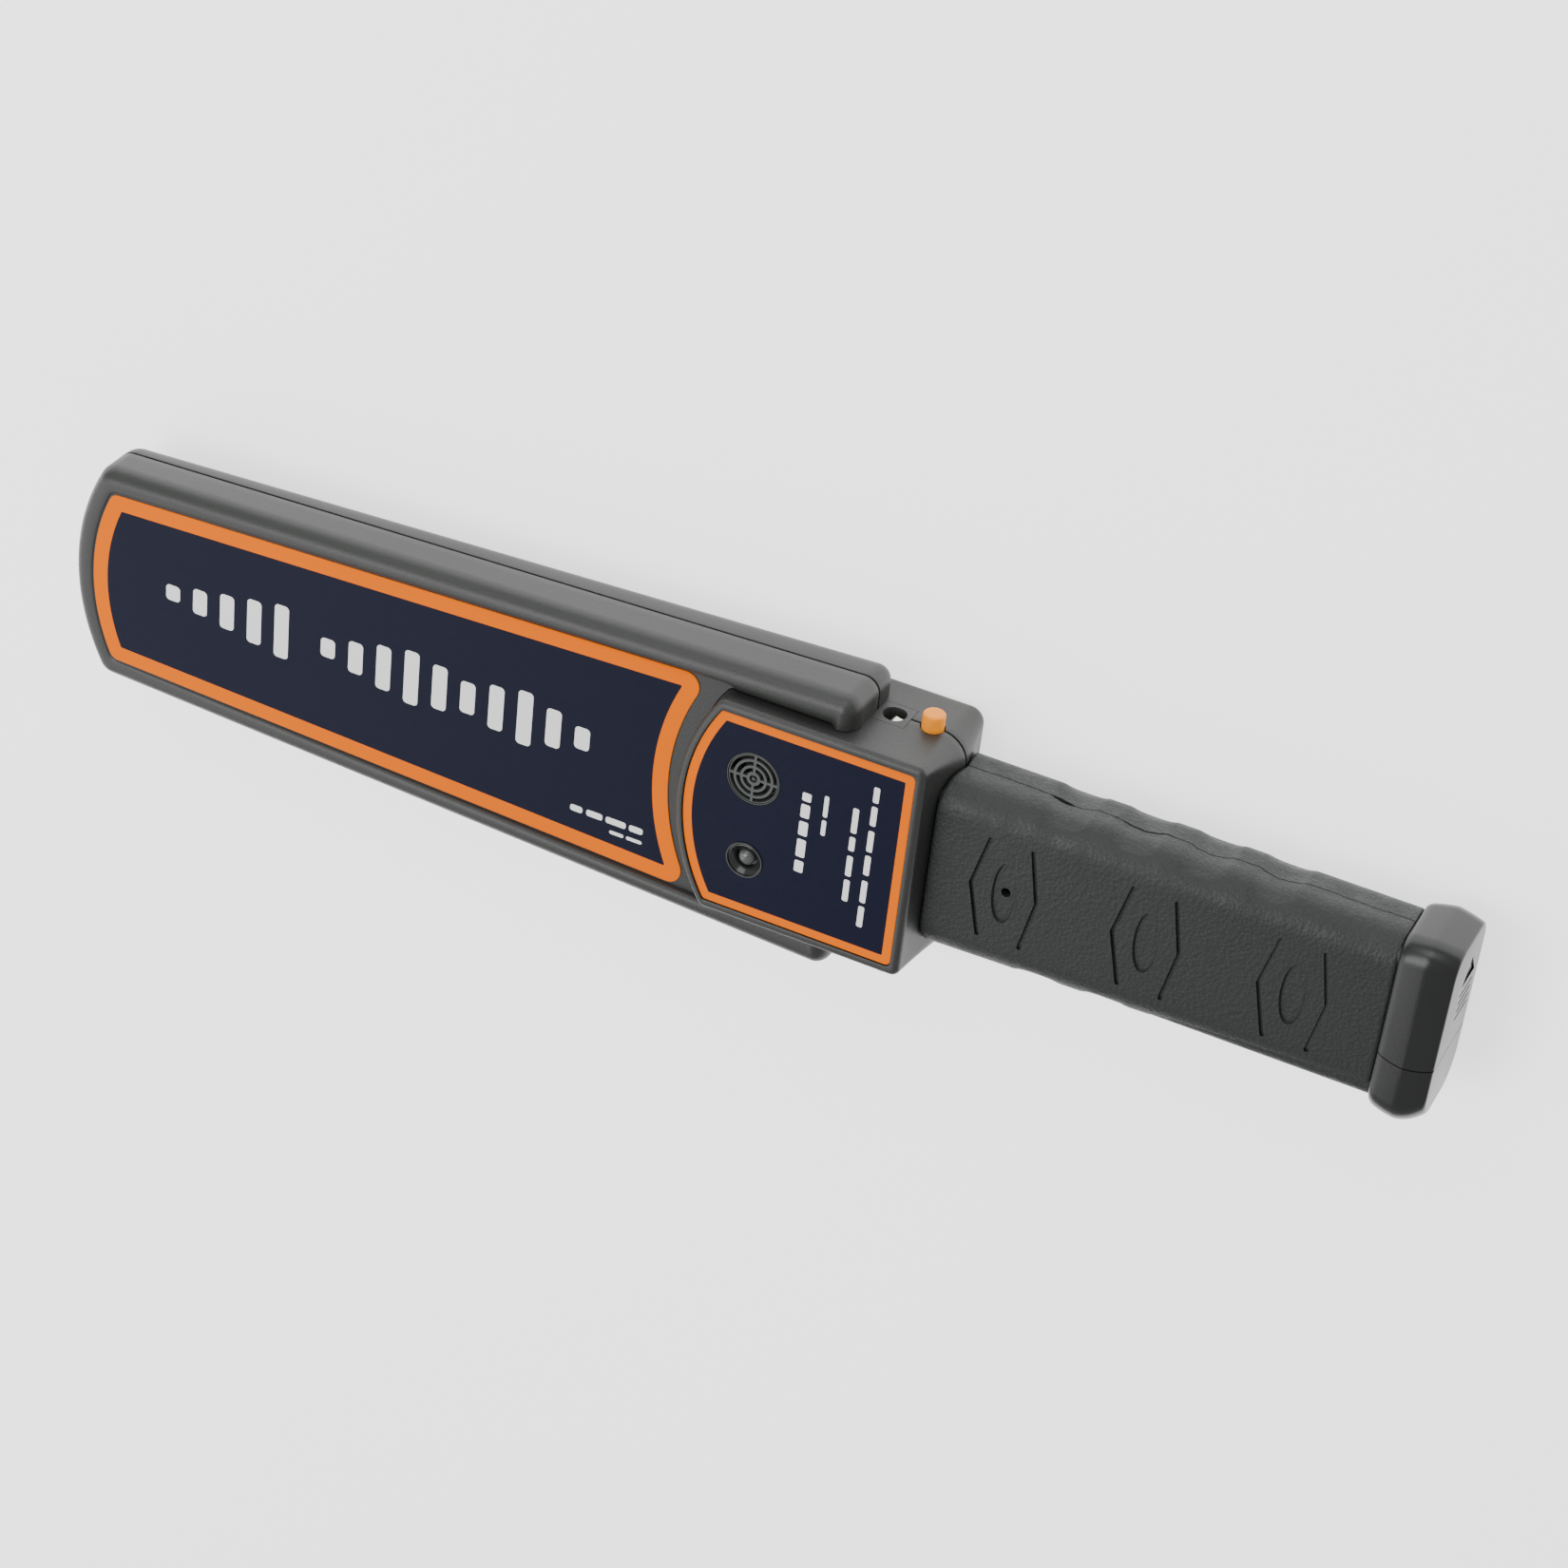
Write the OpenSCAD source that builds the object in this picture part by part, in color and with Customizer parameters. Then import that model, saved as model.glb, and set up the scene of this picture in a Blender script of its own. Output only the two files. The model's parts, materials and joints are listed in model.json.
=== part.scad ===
// Hand-held security metal-detector wand.
// The wand lies on its back: label side up (+Z), tip towards -X, end cap
// towards +X, push button and charging socket on the +Y side.
// The origin is the bottom centre of the whole object. Millimetres.

/* [Overall] */
// Length from the tip to the end cap
total_len = 409; // [408:0.5:411]
// Height of the plane where the two half shells meet
seam_z = 18; // [17.5:0.1:18.5]
// Wall thickness of the half shells
wall = 2.3; // [2:0.1:2.6]

/* [Paddle] */
// Width of the paddle next to the control box
paddle_w = 85; // [83:0.5:86]
// Width of the paddle at its tip
paddle_tip_w = 66.6; // [65:0.1:67]
// Height of the paddle's rim above the ground at the tip
tip_top_z = 30.4; // [30.2:0.1:31]
// Height of the paddle's rim above the ground next to the control box
nose_top_z = 32.7; // [32:0.1:33.5]
// Height of the paddle's back above the ground at the tip
tip_back_z = 11; // [10:0.5:11]
// Height of the paddle's back above the ground next to the control box
nose_back_z = 7; // [6:0.5:8]
// Radius of the arc that closes the tip in plan
tip_arc_r = 64; // [60:1:70]
// Rounding of the paddle's long edges
paddle_edge_r = 5; // [4.5:0.1:5.5]
// X of the paddle's two rear noses
nose_x = 39.2; // [38.8:0.1:39.3]
// Height of the sunk panel that carries the large label
panel_z = 30; // [29.8:0.1:30.1]

/* [Control box] */
// Width of the control box
box_w = 68.6; // [68:0.1:69]
// Thickness of the control box
box_t = 37; // [36.5:0.1:38]
// Radius of the control box's curved end in plan
box_arc_r = 58; // [55:1:62]
// X of the control box's curved end
box_arc_x = -7.8; // [-8.5:0.1:-7]
// X of the control box's handle end, measured at the seam
box_end_x = 65.7; // [65.5:0.1:66]

/* [Handle] */
// Width of the rubber grip
grip_w = 53; // [52.5:0.1:53.4]
// Thickness of the rubber grip
grip_t = 25; // [24.8:0.1:25.4]
// Height of the grip's centre line above the ground
grip_z = 17.5; // [17.4:0.1:17.6]
// Corner radius of the grip's section
grip_r = 9; // [8:0.5:10]
// Thickness of the rubber on the two flat faces
rubber_t = 1.7; // [1.6:0.05:1.75]
// Number of finger scallops on each narrow side
scallops = 4; // [3:1:5]

/* [End cap] */
// Length of the end cap
cap_len = 15.5; // [15.2:0.1:15.8]
// Width of the end cap
cap_w = 56; // [55:0.5:57]
// Thickness of the end cap
cap_t = 28; // [27.6:0.1:28.4]
// Y of the line between the fixed collar and the sliding battery door
door_split_y = -8; // [-9:0.1:-7.5]

/* [Controls] */
// Diameter of the push button
button_d = 6.1; // [5.8:0.1:6.4]
// How far the push button stands out of the box
button_proud = 4; // [3.6:0.1:4.4]
// Travel of the push button
button_travel = 1.5; // [1:0.1:1.6]
// X of the push button
button_x = 55; // [54.6:0.1:55.2]
// X of the charging socket
socket_x = 44.1; // [44:0.1:44.2]
// Diameter of the charging socket's mouth
socket_d = 6.3; // [6.1:0.1:6.5]
// X of the mode switch at its middle position
switch_x = 53.4; // [53:0.1:53.8]
// Height of the mode switch above the ground
switch_z = 27; // [26.6:0.1:27.4]
// Travel of the mode switch to each side
switch_travel = 2.5; // [2:0.1:2.6]
// X of the sensitivity trimmer in the handle
trimmer_x = 85.4; // [85:0.1:86]

/* [Label side] */
// X of the loudspeaker grille and of the lamp
speaker_x = 14.2; // [14:0.1:14.6]
// Y of the loudspeaker grille
speaker_y = 12.5; // [12:0.1:13]
// Radius of the loudspeaker grille
grille_r = 7.75; // [7.5:0.05:8]
// Y of the indicator lamp
lamp_y = -13.3; // [-13.8:0.1:-12.8]
// Radius of the lamp's bezel
bezel_r = 5.4; // [5.2:0.1:5.6]

/* [Battery] */
// Length of the battery without its terminals
battery_len = 46.4; // [46:0.1:46.4]
// Width of the battery
battery_w = 26.5; // [26:0.1:26.5]
// Thickness of the battery
battery_t = 17.5; // [17:0.1:17.5]

/* [Hidden] */

$fn = 48;
hull_fn = 16;
eps = 0.01;

plastic = "#4b4d4a";
cap_black = "#2b2d2c";
rubber = "#3c3e3b";
navy = "#282c3e";
orange = "#ea872c";

// Overall
tip_x = -total_len / 2;
end_x = total_len / 2;
grip_x0 = box_end_x + 0.3;
grip_x1 = end_x - cap_len;
edge_gap = 0.2;

// Paddle
taper_x0 = tip_x + 11.5;
taper_x1 = nose_x - 9;
taper = (paddle_w - paddle_tip_w) / 2 / (taper_x1 - taper_x0);
tip_centre_x = tip_x + tip_arc_r;
tip_half_angle = 26;
tip_steps = 6;

// Control box
box_top_w = box_w - 3;
box_top_x = box_end_x - 4;
box_back_x = box_end_x - 3.2;
box_corner_r = 7;
box_edge_r = 2;
box_back_r = 4;
side_in_y = box_top_w / 2 - wall;
lip_h = 0.8;
label_t = 0.3;
arc_steps = 4;

// Handle core, which is part of the two half shells
core_w = 47.2;
core_t = grip_t - 2 * rubber_t - 0.2;
core_r = 4;
core_in_r = 1.5;
core_wall = 1.5;
core_in_w = core_w - 2 * (core_wall + 0.3);
core_in_t = core_t - 2 * core_wall;

// Battery bay
battery_y = core_in_w / 2 - battery_w / 2 - 0.3;
battery_x1 = grip_x1 + 1.6;
battery_x0 = battery_x1 - battery_len;
terminal_len = 2.1;

// End collar and door
collar_plate_t = 3.4;
collar_half_t = 11.4;
groove_d = 1.2;
groove_x = grip_x1 + 1;
groove_w = 1.2;
door_wall = 2.1;
slide_gap = 0.3;
cap_in_r = 7.5;
rail_end_y = 19;

// Screws
case_screw_seat_z = 13.5;
mid_post_x = -105;
box_post = [55, 13];
case_screw_xy = [
    [tip_x + 9.5, 0], [mid_post_x, 0], [-18, 31], [-18, -31],
    [box_post[0], box_post[1]], [box_post[0], -box_post[1]]
];
board_screw_xy = [[9, 23], [9, -22], [34, 23], [48, -22]];

// Push button
flange_t = 1.6;
button_stem_r = 1.2;
spring_gap = 2 * button_travel + 0.4;
switch_top_y = side_in_y - flange_t - 0.3 - spring_gap;

// Charging socket
socket_depth = 10;
socket_mouth_t = 5;

// Mode switch
stem_half = 1.4;

// Board
board_z = 15;
board_t = 1.6;
board_top = board_z + board_t;

// Coils
coil_x0 = tip_x + 19;
coil_x1 = -32;
coil_mid_x = (coil_x0 + coil_x1) / 2;
coil_len = coil_x1 - coil_x0;

// Half width of the paddle at a given x
function paddle_half(x) = paddle_tip_w / 2 + taper * (x - taper_x0);

// Rectangle with round corners, centred
module round_rect(l, w, r) {
    square([l, w - 2 * r], center = true);
    square([l - 2 * r, w], center = true);
    for (sx = [-1, 1], sy = [-1, 1])
        translate([sx * (l / 2 - r), sy * (w / 2 - r)]) circle(r);
}

// Bar along X whose YZ section is a rounded rectangle
module bar_x(x0, x1, w, t, r, z) {
    translate([x0, 0, z])
        rotate([90, 0, 90])
            linear_extrude(x1 - x0) round_rect(w, t, r);
}

// Block given by its two corners
module block(a, b) {
    translate(a) cube(b - a);
}

// Tube along a list of points, closed at both ends
function unit(v) = v / norm(v);
function path_dir(p, i) =
    unit(p[min(i + 1, len(p) - 1)] - p[max(i - 1, 0)]);
function path_side(d) =
    unit(cross(d, abs(d[2]) > 0.9 ? [0, 1, 0] : [0, 0, 1]));
function path_ring(p, i, r, n) =
    let (d = path_dir(p, i), u = path_side(d), v = cross(u, d))
    [for (k = [0:n - 1]) p[i] + r * (cos(360 * k / n) * u + sin(360 * k / n) * v)];
module tube(p, r, n = 8) {
    m = len(p);
    rings = [for (i = [0:m - 1]) each path_ring(p, i, r, n)];
    walls = [for (i = [0:m - 2], k = [0:n - 1])
        [i * n + k, i * n + (k + 1) % n, (i + 1) * n + (k + 1) % n, (i + 1) * n + k]];
    first = [for (k = [0:n - 1]) n - 1 - k];
    last = [for (k = [0:n - 1]) (m - 1) * n + k];
    polyhedron(rings, concat([first], walls, [last]));
}

// Points of a smooth curve through a list of points
function curve_point(a, b, c, d, t) =
    0.5 * ((2 * b) + (c - a) * t + (2 * a - 5 * b + 4 * c - d) * t * t
        + (3 * b - a - 3 * c + d) * t * t * t);
function smooth_path(p, n = 5) = concat(
    [for (i = [0:len(p) - 2], k = [0:n - 1])
        curve_point(p[max(i - 1, 0)], p[i], p[i + 1], p[min(i + 2, len(p) - 1)], k / n)],
    [p[len(p) - 1]]);

// Ball for the hulls, whose poles and sides reach the full radius
module ball(r) {
    sphere(r / cos(180 / hull_fn), $fn = hull_fn);
}

// Outer form of the paddle
module paddle_form() {
    r = paddle_edge_r;
    corner_y = paddle_half(nose_x) - r;
    hull() {
        for (i = [-tip_steps:tip_steps]) {
            a = 180 + i * tip_half_angle / tip_steps;
            arm = tip_arc_r - r;
            translate([tip_centre_x + arm * cos(a), arm * sin(a), 0]) {
                translate([0, 0, tip_top_z - r]) ball(r);
                translate([0, 0, tip_back_z + r]) ball(r);
            }
        }
        for (s = [-1, 1])
            translate([nose_x - r, s * corner_y, 0]) {
                translate([0, 0, nose_top_z - r]) ball(r);
                translate([0, 0, nose_back_z + r]) ball(r);
            }
    }
}

// Outer form of the control box
module box_form() {
    top_r = box_edge_r;
    back_r = box_back_r;
    side_r = 3;
    half = box_w / 2;
    top_half = box_top_w / 2;
    centre_x = box_arc_x + box_arc_r;
    top_angle = asin((top_half - top_r) / box_arc_r);
    seam_angle = asin((half - box_corner_r / 2) / box_arc_r);
    hull() {
        for (i = [-arc_steps:arc_steps]) {
            a = 180 + i * top_angle / arc_steps;
            b = 180 + i * seam_angle / arc_steps;
            top_arm = box_arc_r - top_r;
            back_arm = box_arc_r - back_r;
            side_arm = box_arc_r - side_r;
            translate([centre_x + top_arm * cos(a), top_arm * sin(a), box_t - top_r])
                ball(top_r);
            translate([centre_x + back_arm * cos(a), back_arm * sin(a), back_r])
                ball(back_r);
            translate([centre_x + side_arm * cos(b), side_arm * sin(b), seam_z - 0.5])
                cylinder(r = side_r, h = 1, $fn = hull_fn);
        }
        for (s = [-1, 1]) {
            translate([box_top_x - top_r, s * (top_half - top_r), box_t - top_r])
                ball(top_r);
            translate([box_back_x - back_r, s * (half - back_r), back_r])
                ball(back_r);
            translate([box_end_x - box_corner_r, s * (half - box_corner_r), seam_z - 0.5])
                cylinder(r = box_corner_r, h = 1, $fn = hull_fn);
        }
    }
}

// Solid outline of both half shells together
module shell_outside() {
    paddle_form();
    box_form();
    bar_x(box_end_x - 6, grip_x1, core_w, core_t, core_r, grip_z);
}

// Height of the paddle's inner floor at a given x
function floor_z(x) = wall + tip_back_z
    + (nose_back_z - tip_back_z) * (x - tip_x) / (nose_x - tip_x);

// Space inside the paddle
module paddle_inside() {
    shoulder_x = tip_x + 9;
    half0 = paddle_half(shoulder_x) - wall;
    half1 = paddle_half(nose_x - 6) - wall;
    x1 = nose_x - wall;
    intersection() {
        linear_extrude(box_t)
            intersection() {
                polygon([[tip_x, -half0], [shoulder_x, -half0], [x1, -half1],
                    [x1, half1], [shoulder_x, half0], [tip_x, half0]]);
                translate([tip_centre_x, 0]) {
                    circle(tip_arc_r - wall - 0.6);
                    translate([0, -paddle_w]) square([total_len, 2 * paddle_w]);
                }
            }
        translate([0, paddle_w, 0])
            rotate([90, 0, 0])
                linear_extrude(2 * paddle_w)
                    polygon([[tip_x, floor_z(tip_x)], [nose_x, floor_z(nose_x)],
                        [nose_x, panel_z - wall], [tip_x, panel_z - wall]]);
    }
}

// Space inside the control box
module box_inside() {
    translate([0, 0, wall])
        linear_extrude(box_t - 2 * wall)
            intersection() {
                translate([box_arc_x + box_arc_r, 0]) circle(box_arc_r - wall - 0.6);
                translate([box_arc_x, -side_in_y])
                    square([box_top_x - box_arc_x - wall, 2 * side_in_y]);
            }
}

// Space inside both half shells
module shell_inside() {
    paddle_inside();
    box_inside();
    bar_x(box_end_x - 12, grip_x1 + 1, core_in_w, core_in_t, core_in_r, grip_z);
}

// Sunk panel of the paddle's front
module panel_cut() {
    left = tip_x + 6;
    half_left = paddle_half(left) - 3.9;
    half_right = box_w / 2 + 0.6;
    translate([0, 0, panel_z])
        linear_extrude(box_t)
            difference() {
                polygon([[left, -half_left], [nose_x - 8, -half_right],
                    [nose_x - 8, half_right], [left, half_left]]);
                polygon([[left - 1, half_left - 2], [left + 8, half_left + 9],
                    [left - 1, half_left + 9]]);
                mirror([0, 1])
                    polygon([[left - 1, half_left - 2], [left + 8, half_left + 9],
                        [left - 1, half_left + 9]]);
            }
}

// Everything on one side of the seam
module half_space(front) {
    z0 = front ? seam_z : -1;
    z1 = front ? box_t + 1 : seam_z;
    block([tip_x - 1, -paddle_w, z0], [end_x + 1, paddle_w, z1]);
}

// Cut-outs that both half shells share, on the seam
module side_cuts() {
    translate([button_x, box_w / 2 - 6, seam_z])
        rotate([-90, 0, 0]) cylinder(d = button_d + 0.6, h = 10);
    block([socket_x - 4.8, box_w / 2 - 8, seam_z - 4.8],
        [socket_x + 4.8, box_w / 2 + 2, seam_z + 4.8]);
}

module front_shell() {
    color(plastic)
        difference() {
            union() {
                difference() {
                    intersection() {
                        union() {
                            difference() {
                                paddle_form();
                                panel_cut();
                            }
                            box_form();
                            bar_x(box_end_x - 6, grip_x1, core_w, core_t, core_r, grip_z);
                        }
                        half_space(true);
                    }
                    shell_inside();
                }
                for (p = case_screw_xy)
                    translate([p[0], p[1], seam_z])
                        cylinder(r = 3.2, h = (p[0] > box_arc_x ? box_t : panel_z) - seam_z - 1.5);
            }
            for (p = case_screw_xy)
                translate([p[0], p[1], seam_z - 1]) cylinder(r = 1.45, h = 9.2);
            side_cuts();
            translate([0, 0, box_t - lip_h]) linear_extrude(2) control_outline(0.3);
            translate([speaker_x, speaker_y, box_t - 5]) cylinder(r = grille_r + 0.1, h = 6);
            translate([speaker_x, lamp_y, box_t - 5]) cylinder(r = bezel_r - 0.5, h = 6);
            block([switch_x - stem_half - switch_travel - 0.5, -box_w / 2 - 1, switch_z - 1.7],
                [switch_x + stem_half + switch_travel + 0.5, -box_w / 2 + 5, switch_z + 1.7]);
            translate([trimmer_x, 0, grip_z]) cylinder(d = 2.7, h = grip_t);
        }
}

module rear_shell() {
    color(plastic)
        difference() {
            union() {
                difference() {
                    intersection() {
                        shell_outside();
                        half_space(false);
                    }
                    shell_inside();
                }
                for (p = case_screw_xy) {
                    foot_z = p[0] > box_arc_x ? 1 : floor_z(p[0]) - 1;
                    translate([p[0], p[1], foot_z]) cylinder(r = 4.3, h = seam_z - foot_z);
                }
                for (p = board_screw_xy)
                    translate([p[0], p[1], wall - 0.5]) cylinder(r = 2.6, h = board_z - wall + 0.5);
                block([battery_x0 - 6, battery_y - battery_w / 2 - 1.6, grip_z - core_in_t / 2 - 0.5],
                    [grip_x1 - 1, battery_y - battery_w / 2 - 0.4, seam_z - 1]);
            }
            for (p = case_screw_xy) {
                translate([p[0], p[1], -1]) cylinder(r = 2.9, h = case_screw_seat_z + 1);
                translate([p[0], p[1], 0]) cylinder(r = 1.6, h = seam_z + 1);
            }
            for (p = board_screw_xy)
                translate([p[0], p[1], board_z - 7]) cylinder(r = 1.15, h = 8);
            side_cuts();
            translate([8, -20, -1]) cube([44, 40, 1.5]);
        }
}

// Outline of the large label: two straight long edges and two arcs
module main_outline() {
    x0 = tip_x + 7.5;
    x1 = -7.6;
    half0 = 27;
    half1 = 33.7;
    corner_x1 = x1 - 0.4;
    n = 10;
    left_sag = 6.4;
    right_sag = 5.2;
    left_r = (half0 * half0 + left_sag * left_sag) / (2 * left_sag);
    right_r = (half1 * half1 + right_sag * right_sag) / (2 * right_sag);
    left_a = asin(half0 / left_r);
    right_a = asin(half1 / right_r);
    polygon(concat(
        [for (i = [-n:n]) let (a = 180 + i * left_a / n)
            [x0 + left_r + left_r * cos(a), -left_r * sin(a)]],
        [for (i = [-n:n]) let (a = 180 - i * right_a / n)
            [corner_x1 - right_sag + right_r + right_r * cos(a), -right_r * sin(a)]]));
}

// Outline of the small label, grown by a margin
module control_outline(grow = 0) {
    x0 = box_arc_x + 2.6 - grow;
    x1 = box_top_x - 2.6 + grow;
    half = 29.8 + grow;
    arc = 56.6 + grow;
    n = 10;
    a0 = asin(half / arc);
    polygon(concat(
        [for (i = [-n:n]) let (a = 180 + i * a0 / n) [x0 + arc + arc * cos(a), -arc * sin(a)]],
        [[x1, half], [x1, -half]]));
}

module main_label() {
    color(navy)
        translate([0, 0, panel_z]) linear_extrude(label_t) main_outline();
}

module control_label() {
    color(navy)
        difference() {
            translate([0, 0, box_t - lip_h]) linear_extrude(label_t) control_outline();
            translate([speaker_x, speaker_y, box_t - 2]) cylinder(r = grille_r + 0.2, h = 4);
            translate([speaker_x, lamp_y, box_t - 2]) cylinder(r = bezel_r + 0.2, h = 4);
        }
}

module rating_plate() {
    color("silver") block([8.3, -19.7, 0.15], [51.7, 19.7, 0.5]);
}

// Side view of the sleeve, whose start follows the box's slanted end
module grip_side() {
    slant = 0.19;
    rotate([90, 0, 0])
        linear_extrude(2 * cap_w, center = true)
            polygon([[grip_x0 - slant * seam_z, 0], [grip_x1, 0], [grip_x1, box_t],
                [grip_x0 - slant * (box_t - seam_z), box_t], [grip_x0, seam_z + 0.6],
                [grip_x0, seam_z - 0.6]]);
}

module grip_sleeve() {
    scallop_r = 14;
    scallop_d = 1.1;
    pitch = 19;
    first_x = 30.5;
    color(rubber)
        difference() {
            intersection() {
                bar_x(grip_x0 - 4, grip_x1, grip_w, grip_t, grip_r, grip_z);
                grip_side();
            }
            bar_x(grip_x0 - 5, grip_x1 + 1, core_w + 0.1, core_t + 0.1, core_r, grip_z);
            for (i = [0:scallops - 1], s = [-1, 1])
                translate([grip_x0 + first_x + i * pitch, s * (grip_w / 2 + scallop_r - scallop_d), 0])
                    cylinder(r = scallop_r, h = box_t, $fn = 96);
            translate([trimmer_x, 0, grip_z]) cylinder(d = 2.7, h = grip_t);
        }
}

// Full outline of the end cap, before it is split into collar and door
module cap_form() {
    r = 9;
    mid = grip_x1 + 7.5;
    hull() {
        bar_x(grip_x1 + eps, grip_x1 + 0.5, cap_w - 2.4, cap_t - 2.4, r - 1.2, grip_z, $fn = 32);
        bar_x(mid - 0.2, mid + 0.2, cap_w, cap_t, r, grip_z, $fn = 32);
        bar_x(end_x - 3, end_x - 2.9, cap_w - 2.4, cap_t - 1.4, r - 0.8, grip_z, $fn = 32);
        translate([0, 1.4, 0])
            bar_x(end_x - 0.5, end_x, cap_w - 5.2, cap_t - 2, r - 1, grip_z, $fn = 32);
    }
}

module end_collar() {
    bay_w = battery_w + 0.8;
    bay_t = battery_t + 0.8;
    plate_half_w = cap_w / 2 - door_wall - 0.6;
    color(cap_black)
        difference() {
            union() {
                intersection() {
                    cap_form();
                    block([grip_x1, -cap_w, 0], [end_x + 1, door_split_y - edge_gap, box_t]);
                }
                intersection() {
                    bar_x(grip_x1 + eps, grip_x1 + collar_plate_t, 2 * plate_half_w, 2 * collar_half_t,
                        cap_in_r - 0.3, grip_z);
                    block([grip_x1, door_split_y - 4, 0], [end_x, cap_w, box_t]);
                }
            }
            intersection() {
                bar_x(grip_x1 + collar_plate_t, end_x - 3 * door_wall, cap_w - 2 * door_wall,
                    cap_t - 2 * door_wall, cap_in_r, grip_z);
                block([grip_x1, -cap_w, 0], [end_x, door_split_y + 1, box_t]);
            }
            for (s = [-1, 1])
                translate([groove_x, door_split_y - edge_gap - eps,
                    grip_z + s * (collar_half_t - groove_d / 2 + eps) - groove_d / 2 - eps])
                    cube([groove_w, cap_w, groove_d + 2 * eps]);
            block([grip_x1 - 1, battery_y - bay_w / 2, grip_z - bay_t / 2],
                [grip_x1 + collar_plate_t + 1, battery_y + bay_w / 2, grip_z + bay_t / 2]);
        }
}

// Arrow sunk in the end face, which points the way the door slides
module door_arrow() {
    head = 10.6;
    translate([end_x - 0.5, 0, grip_z - 3.2])
        rotate([90, 0, 90])
            linear_extrude(1) {
                polygon([[12.4, -head / 2], [19.2, 0], [12.4, head / 2]]);
                for (i = [0:3]) translate([2 + 2.4 * i, -head / 2]) square([0.8, head]);
            }
}

module battery_door() {
    inner_t = 2 * collar_half_t + 2 * slide_gap;
    color(cap_black)
        difference() {
            union() {
                difference() {
                    intersection() {
                        cap_form();
                        block([grip_x1 + slide_gap, door_split_y, 0], [end_x + 1, cap_w, box_t]);
                    }
                    bar_x(grip_x1 - 1, end_x - door_wall, cap_w - 2 * (door_wall + slide_gap), inner_t,
                        cap_in_r, grip_z);
                }
                for (s = [-1, 1])
                    translate([groove_x + 0.2, door_split_y,
                        grip_z + s * (inner_t / 2 - 0.5) - 0.7])
                        cube([groove_w - 0.4, rail_end_y - door_split_y, 1.4]);
            }
            door_arrow();
        }
}

module door_pad() {
    color("#222222")
        block([battery_x1 + 2.3, battery_y - 8, grip_z - 6],
            [end_x - door_wall, battery_y + 8, grip_z + 6]);
}

module speaker_grille() {
    ring_w = 0.9;
    base = box_t - 2.8;
    color("#3a3c3a")
        translate([speaker_x, speaker_y, base]) {
            for (r = [grille_r, 5.4, 3.3])
                difference() {
                    cylinder(r = r, h = 2.2);
                    translate([0, 0, -1]) cylinder(r = r - ring_w, h = 5);
                }
            cylinder(r = 1.1, h = 2.2);
            for (a = [0:60:300])
                rotate([0, 0, a]) translate([0.6, -0.4, 0]) cube([grille_r - 1, 0.8, 1.6]);
        }
}

module speaker_gasket() {
    color("#1e1e1e")
        translate([speaker_x, speaker_y, box_t - 4.2])
            difference() {
                cylinder(r = 9.4, h = 1.2);
                translate([0, 0, -1]) cylinder(r = 7, h = 4);
            }
}

module buzzer() {
    color("#202224")
        translate([speaker_x, speaker_y, box_t - 9.2]) {
            difference() {
                cylinder(r = 10, h = 5);
                translate([0, 0, 4]) cylinder(r = 6, h = 2);
            }
            for (s = [-1, 1]) translate([s * 3.8, 0, -10.8]) cylinder(r = 0.4, h = 11);
        }
}

module lamp_bezel() {
    color("#2a2c2a")
        translate([speaker_x, lamp_y, box_t - 5.2])
            rotate_extrude()
                polygon([[2.7, 0], [bezel_r - 0.6, 0], [bezel_r - 0.6, 4.4], [bezel_r, 4.4],
                    [bezel_r, 5], [bezel_r - 0.5, 5.2], [3.3, 2.6], [2.7, 2.6]]);
}

module indicator_lamp() {
    top = box_t - 0.8;
    base = box_t - 11.9;
    color("#8a5a52")
        translate([speaker_x, lamp_y, 0]) {
            difference() {
                translate([0, 0, top - 2.5]) sphere(2.5);
                translate([0, 0, base]) cylinder(r = 4, h = top - 2.5 - base);
            }
            translate([0, 0, base + 0.8]) cylinder(r = 2.5, h = top - 2.5 - base - 0.8);
            translate([0, 0, base]) cylinder(r = 2.9, h = 1);
            for (s = [-1, 1])
                translate([s * 1.27 - 0.25, -0.25, board_top]) cube([0.5, 0.5, base + 0.3 - board_top]);
        }
}

module button_cap() {
    outer_y = box_w / 2 + 0.2 + button_proud;
    flange_y = side_in_y - flange_t - 0.3;
    color(orange)
        translate([button_x, 0, seam_z])
            rotate([-90, 0, 0]) {
                translate([0, 0, flange_y]) cylinder(d = button_d, h = outer_y - flange_y - 0.5);
                translate([0, 0, outer_y - 0.5])
                    cylinder(d1 = button_d, d2 = button_d - 0.9, h = 0.5);
                translate([0, 0, flange_y]) cylinder(r = 4.1, h = flange_t);
                translate([0, 0, flange_y - 6]) cylinder(r = button_stem_r, h = 6.5);
            }
}

module button_spring() {
    turns = 4;
    steps = 14;
    r = 1.9;
    wire_r = 0.2;
    y0 = switch_top_y + wire_r + 0.05;
    pitch = (spring_gap - 2 * wire_r - 0.1) / turns;
    color("silver")
        tube([for (i = [0:turns * steps])
            [button_x + r * cos(i * 360 / steps), y0 + pitch * i / steps,
                seam_z + r * sin(i * 360 / steps)]], wire_r, 6);
}

module button_switch() {
    color("#26282a")
        difference() {
            block([button_x - 3.6, switch_top_y - 7, board_top],
                [button_x + 3.6, switch_top_y, seam_z + 3.6]);
            translate([button_x, switch_top_y - 6, seam_z])
                rotate([-90, 0, 0]) cylinder(r = button_stem_r + 0.1, h = 7);
        }
}

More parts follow.
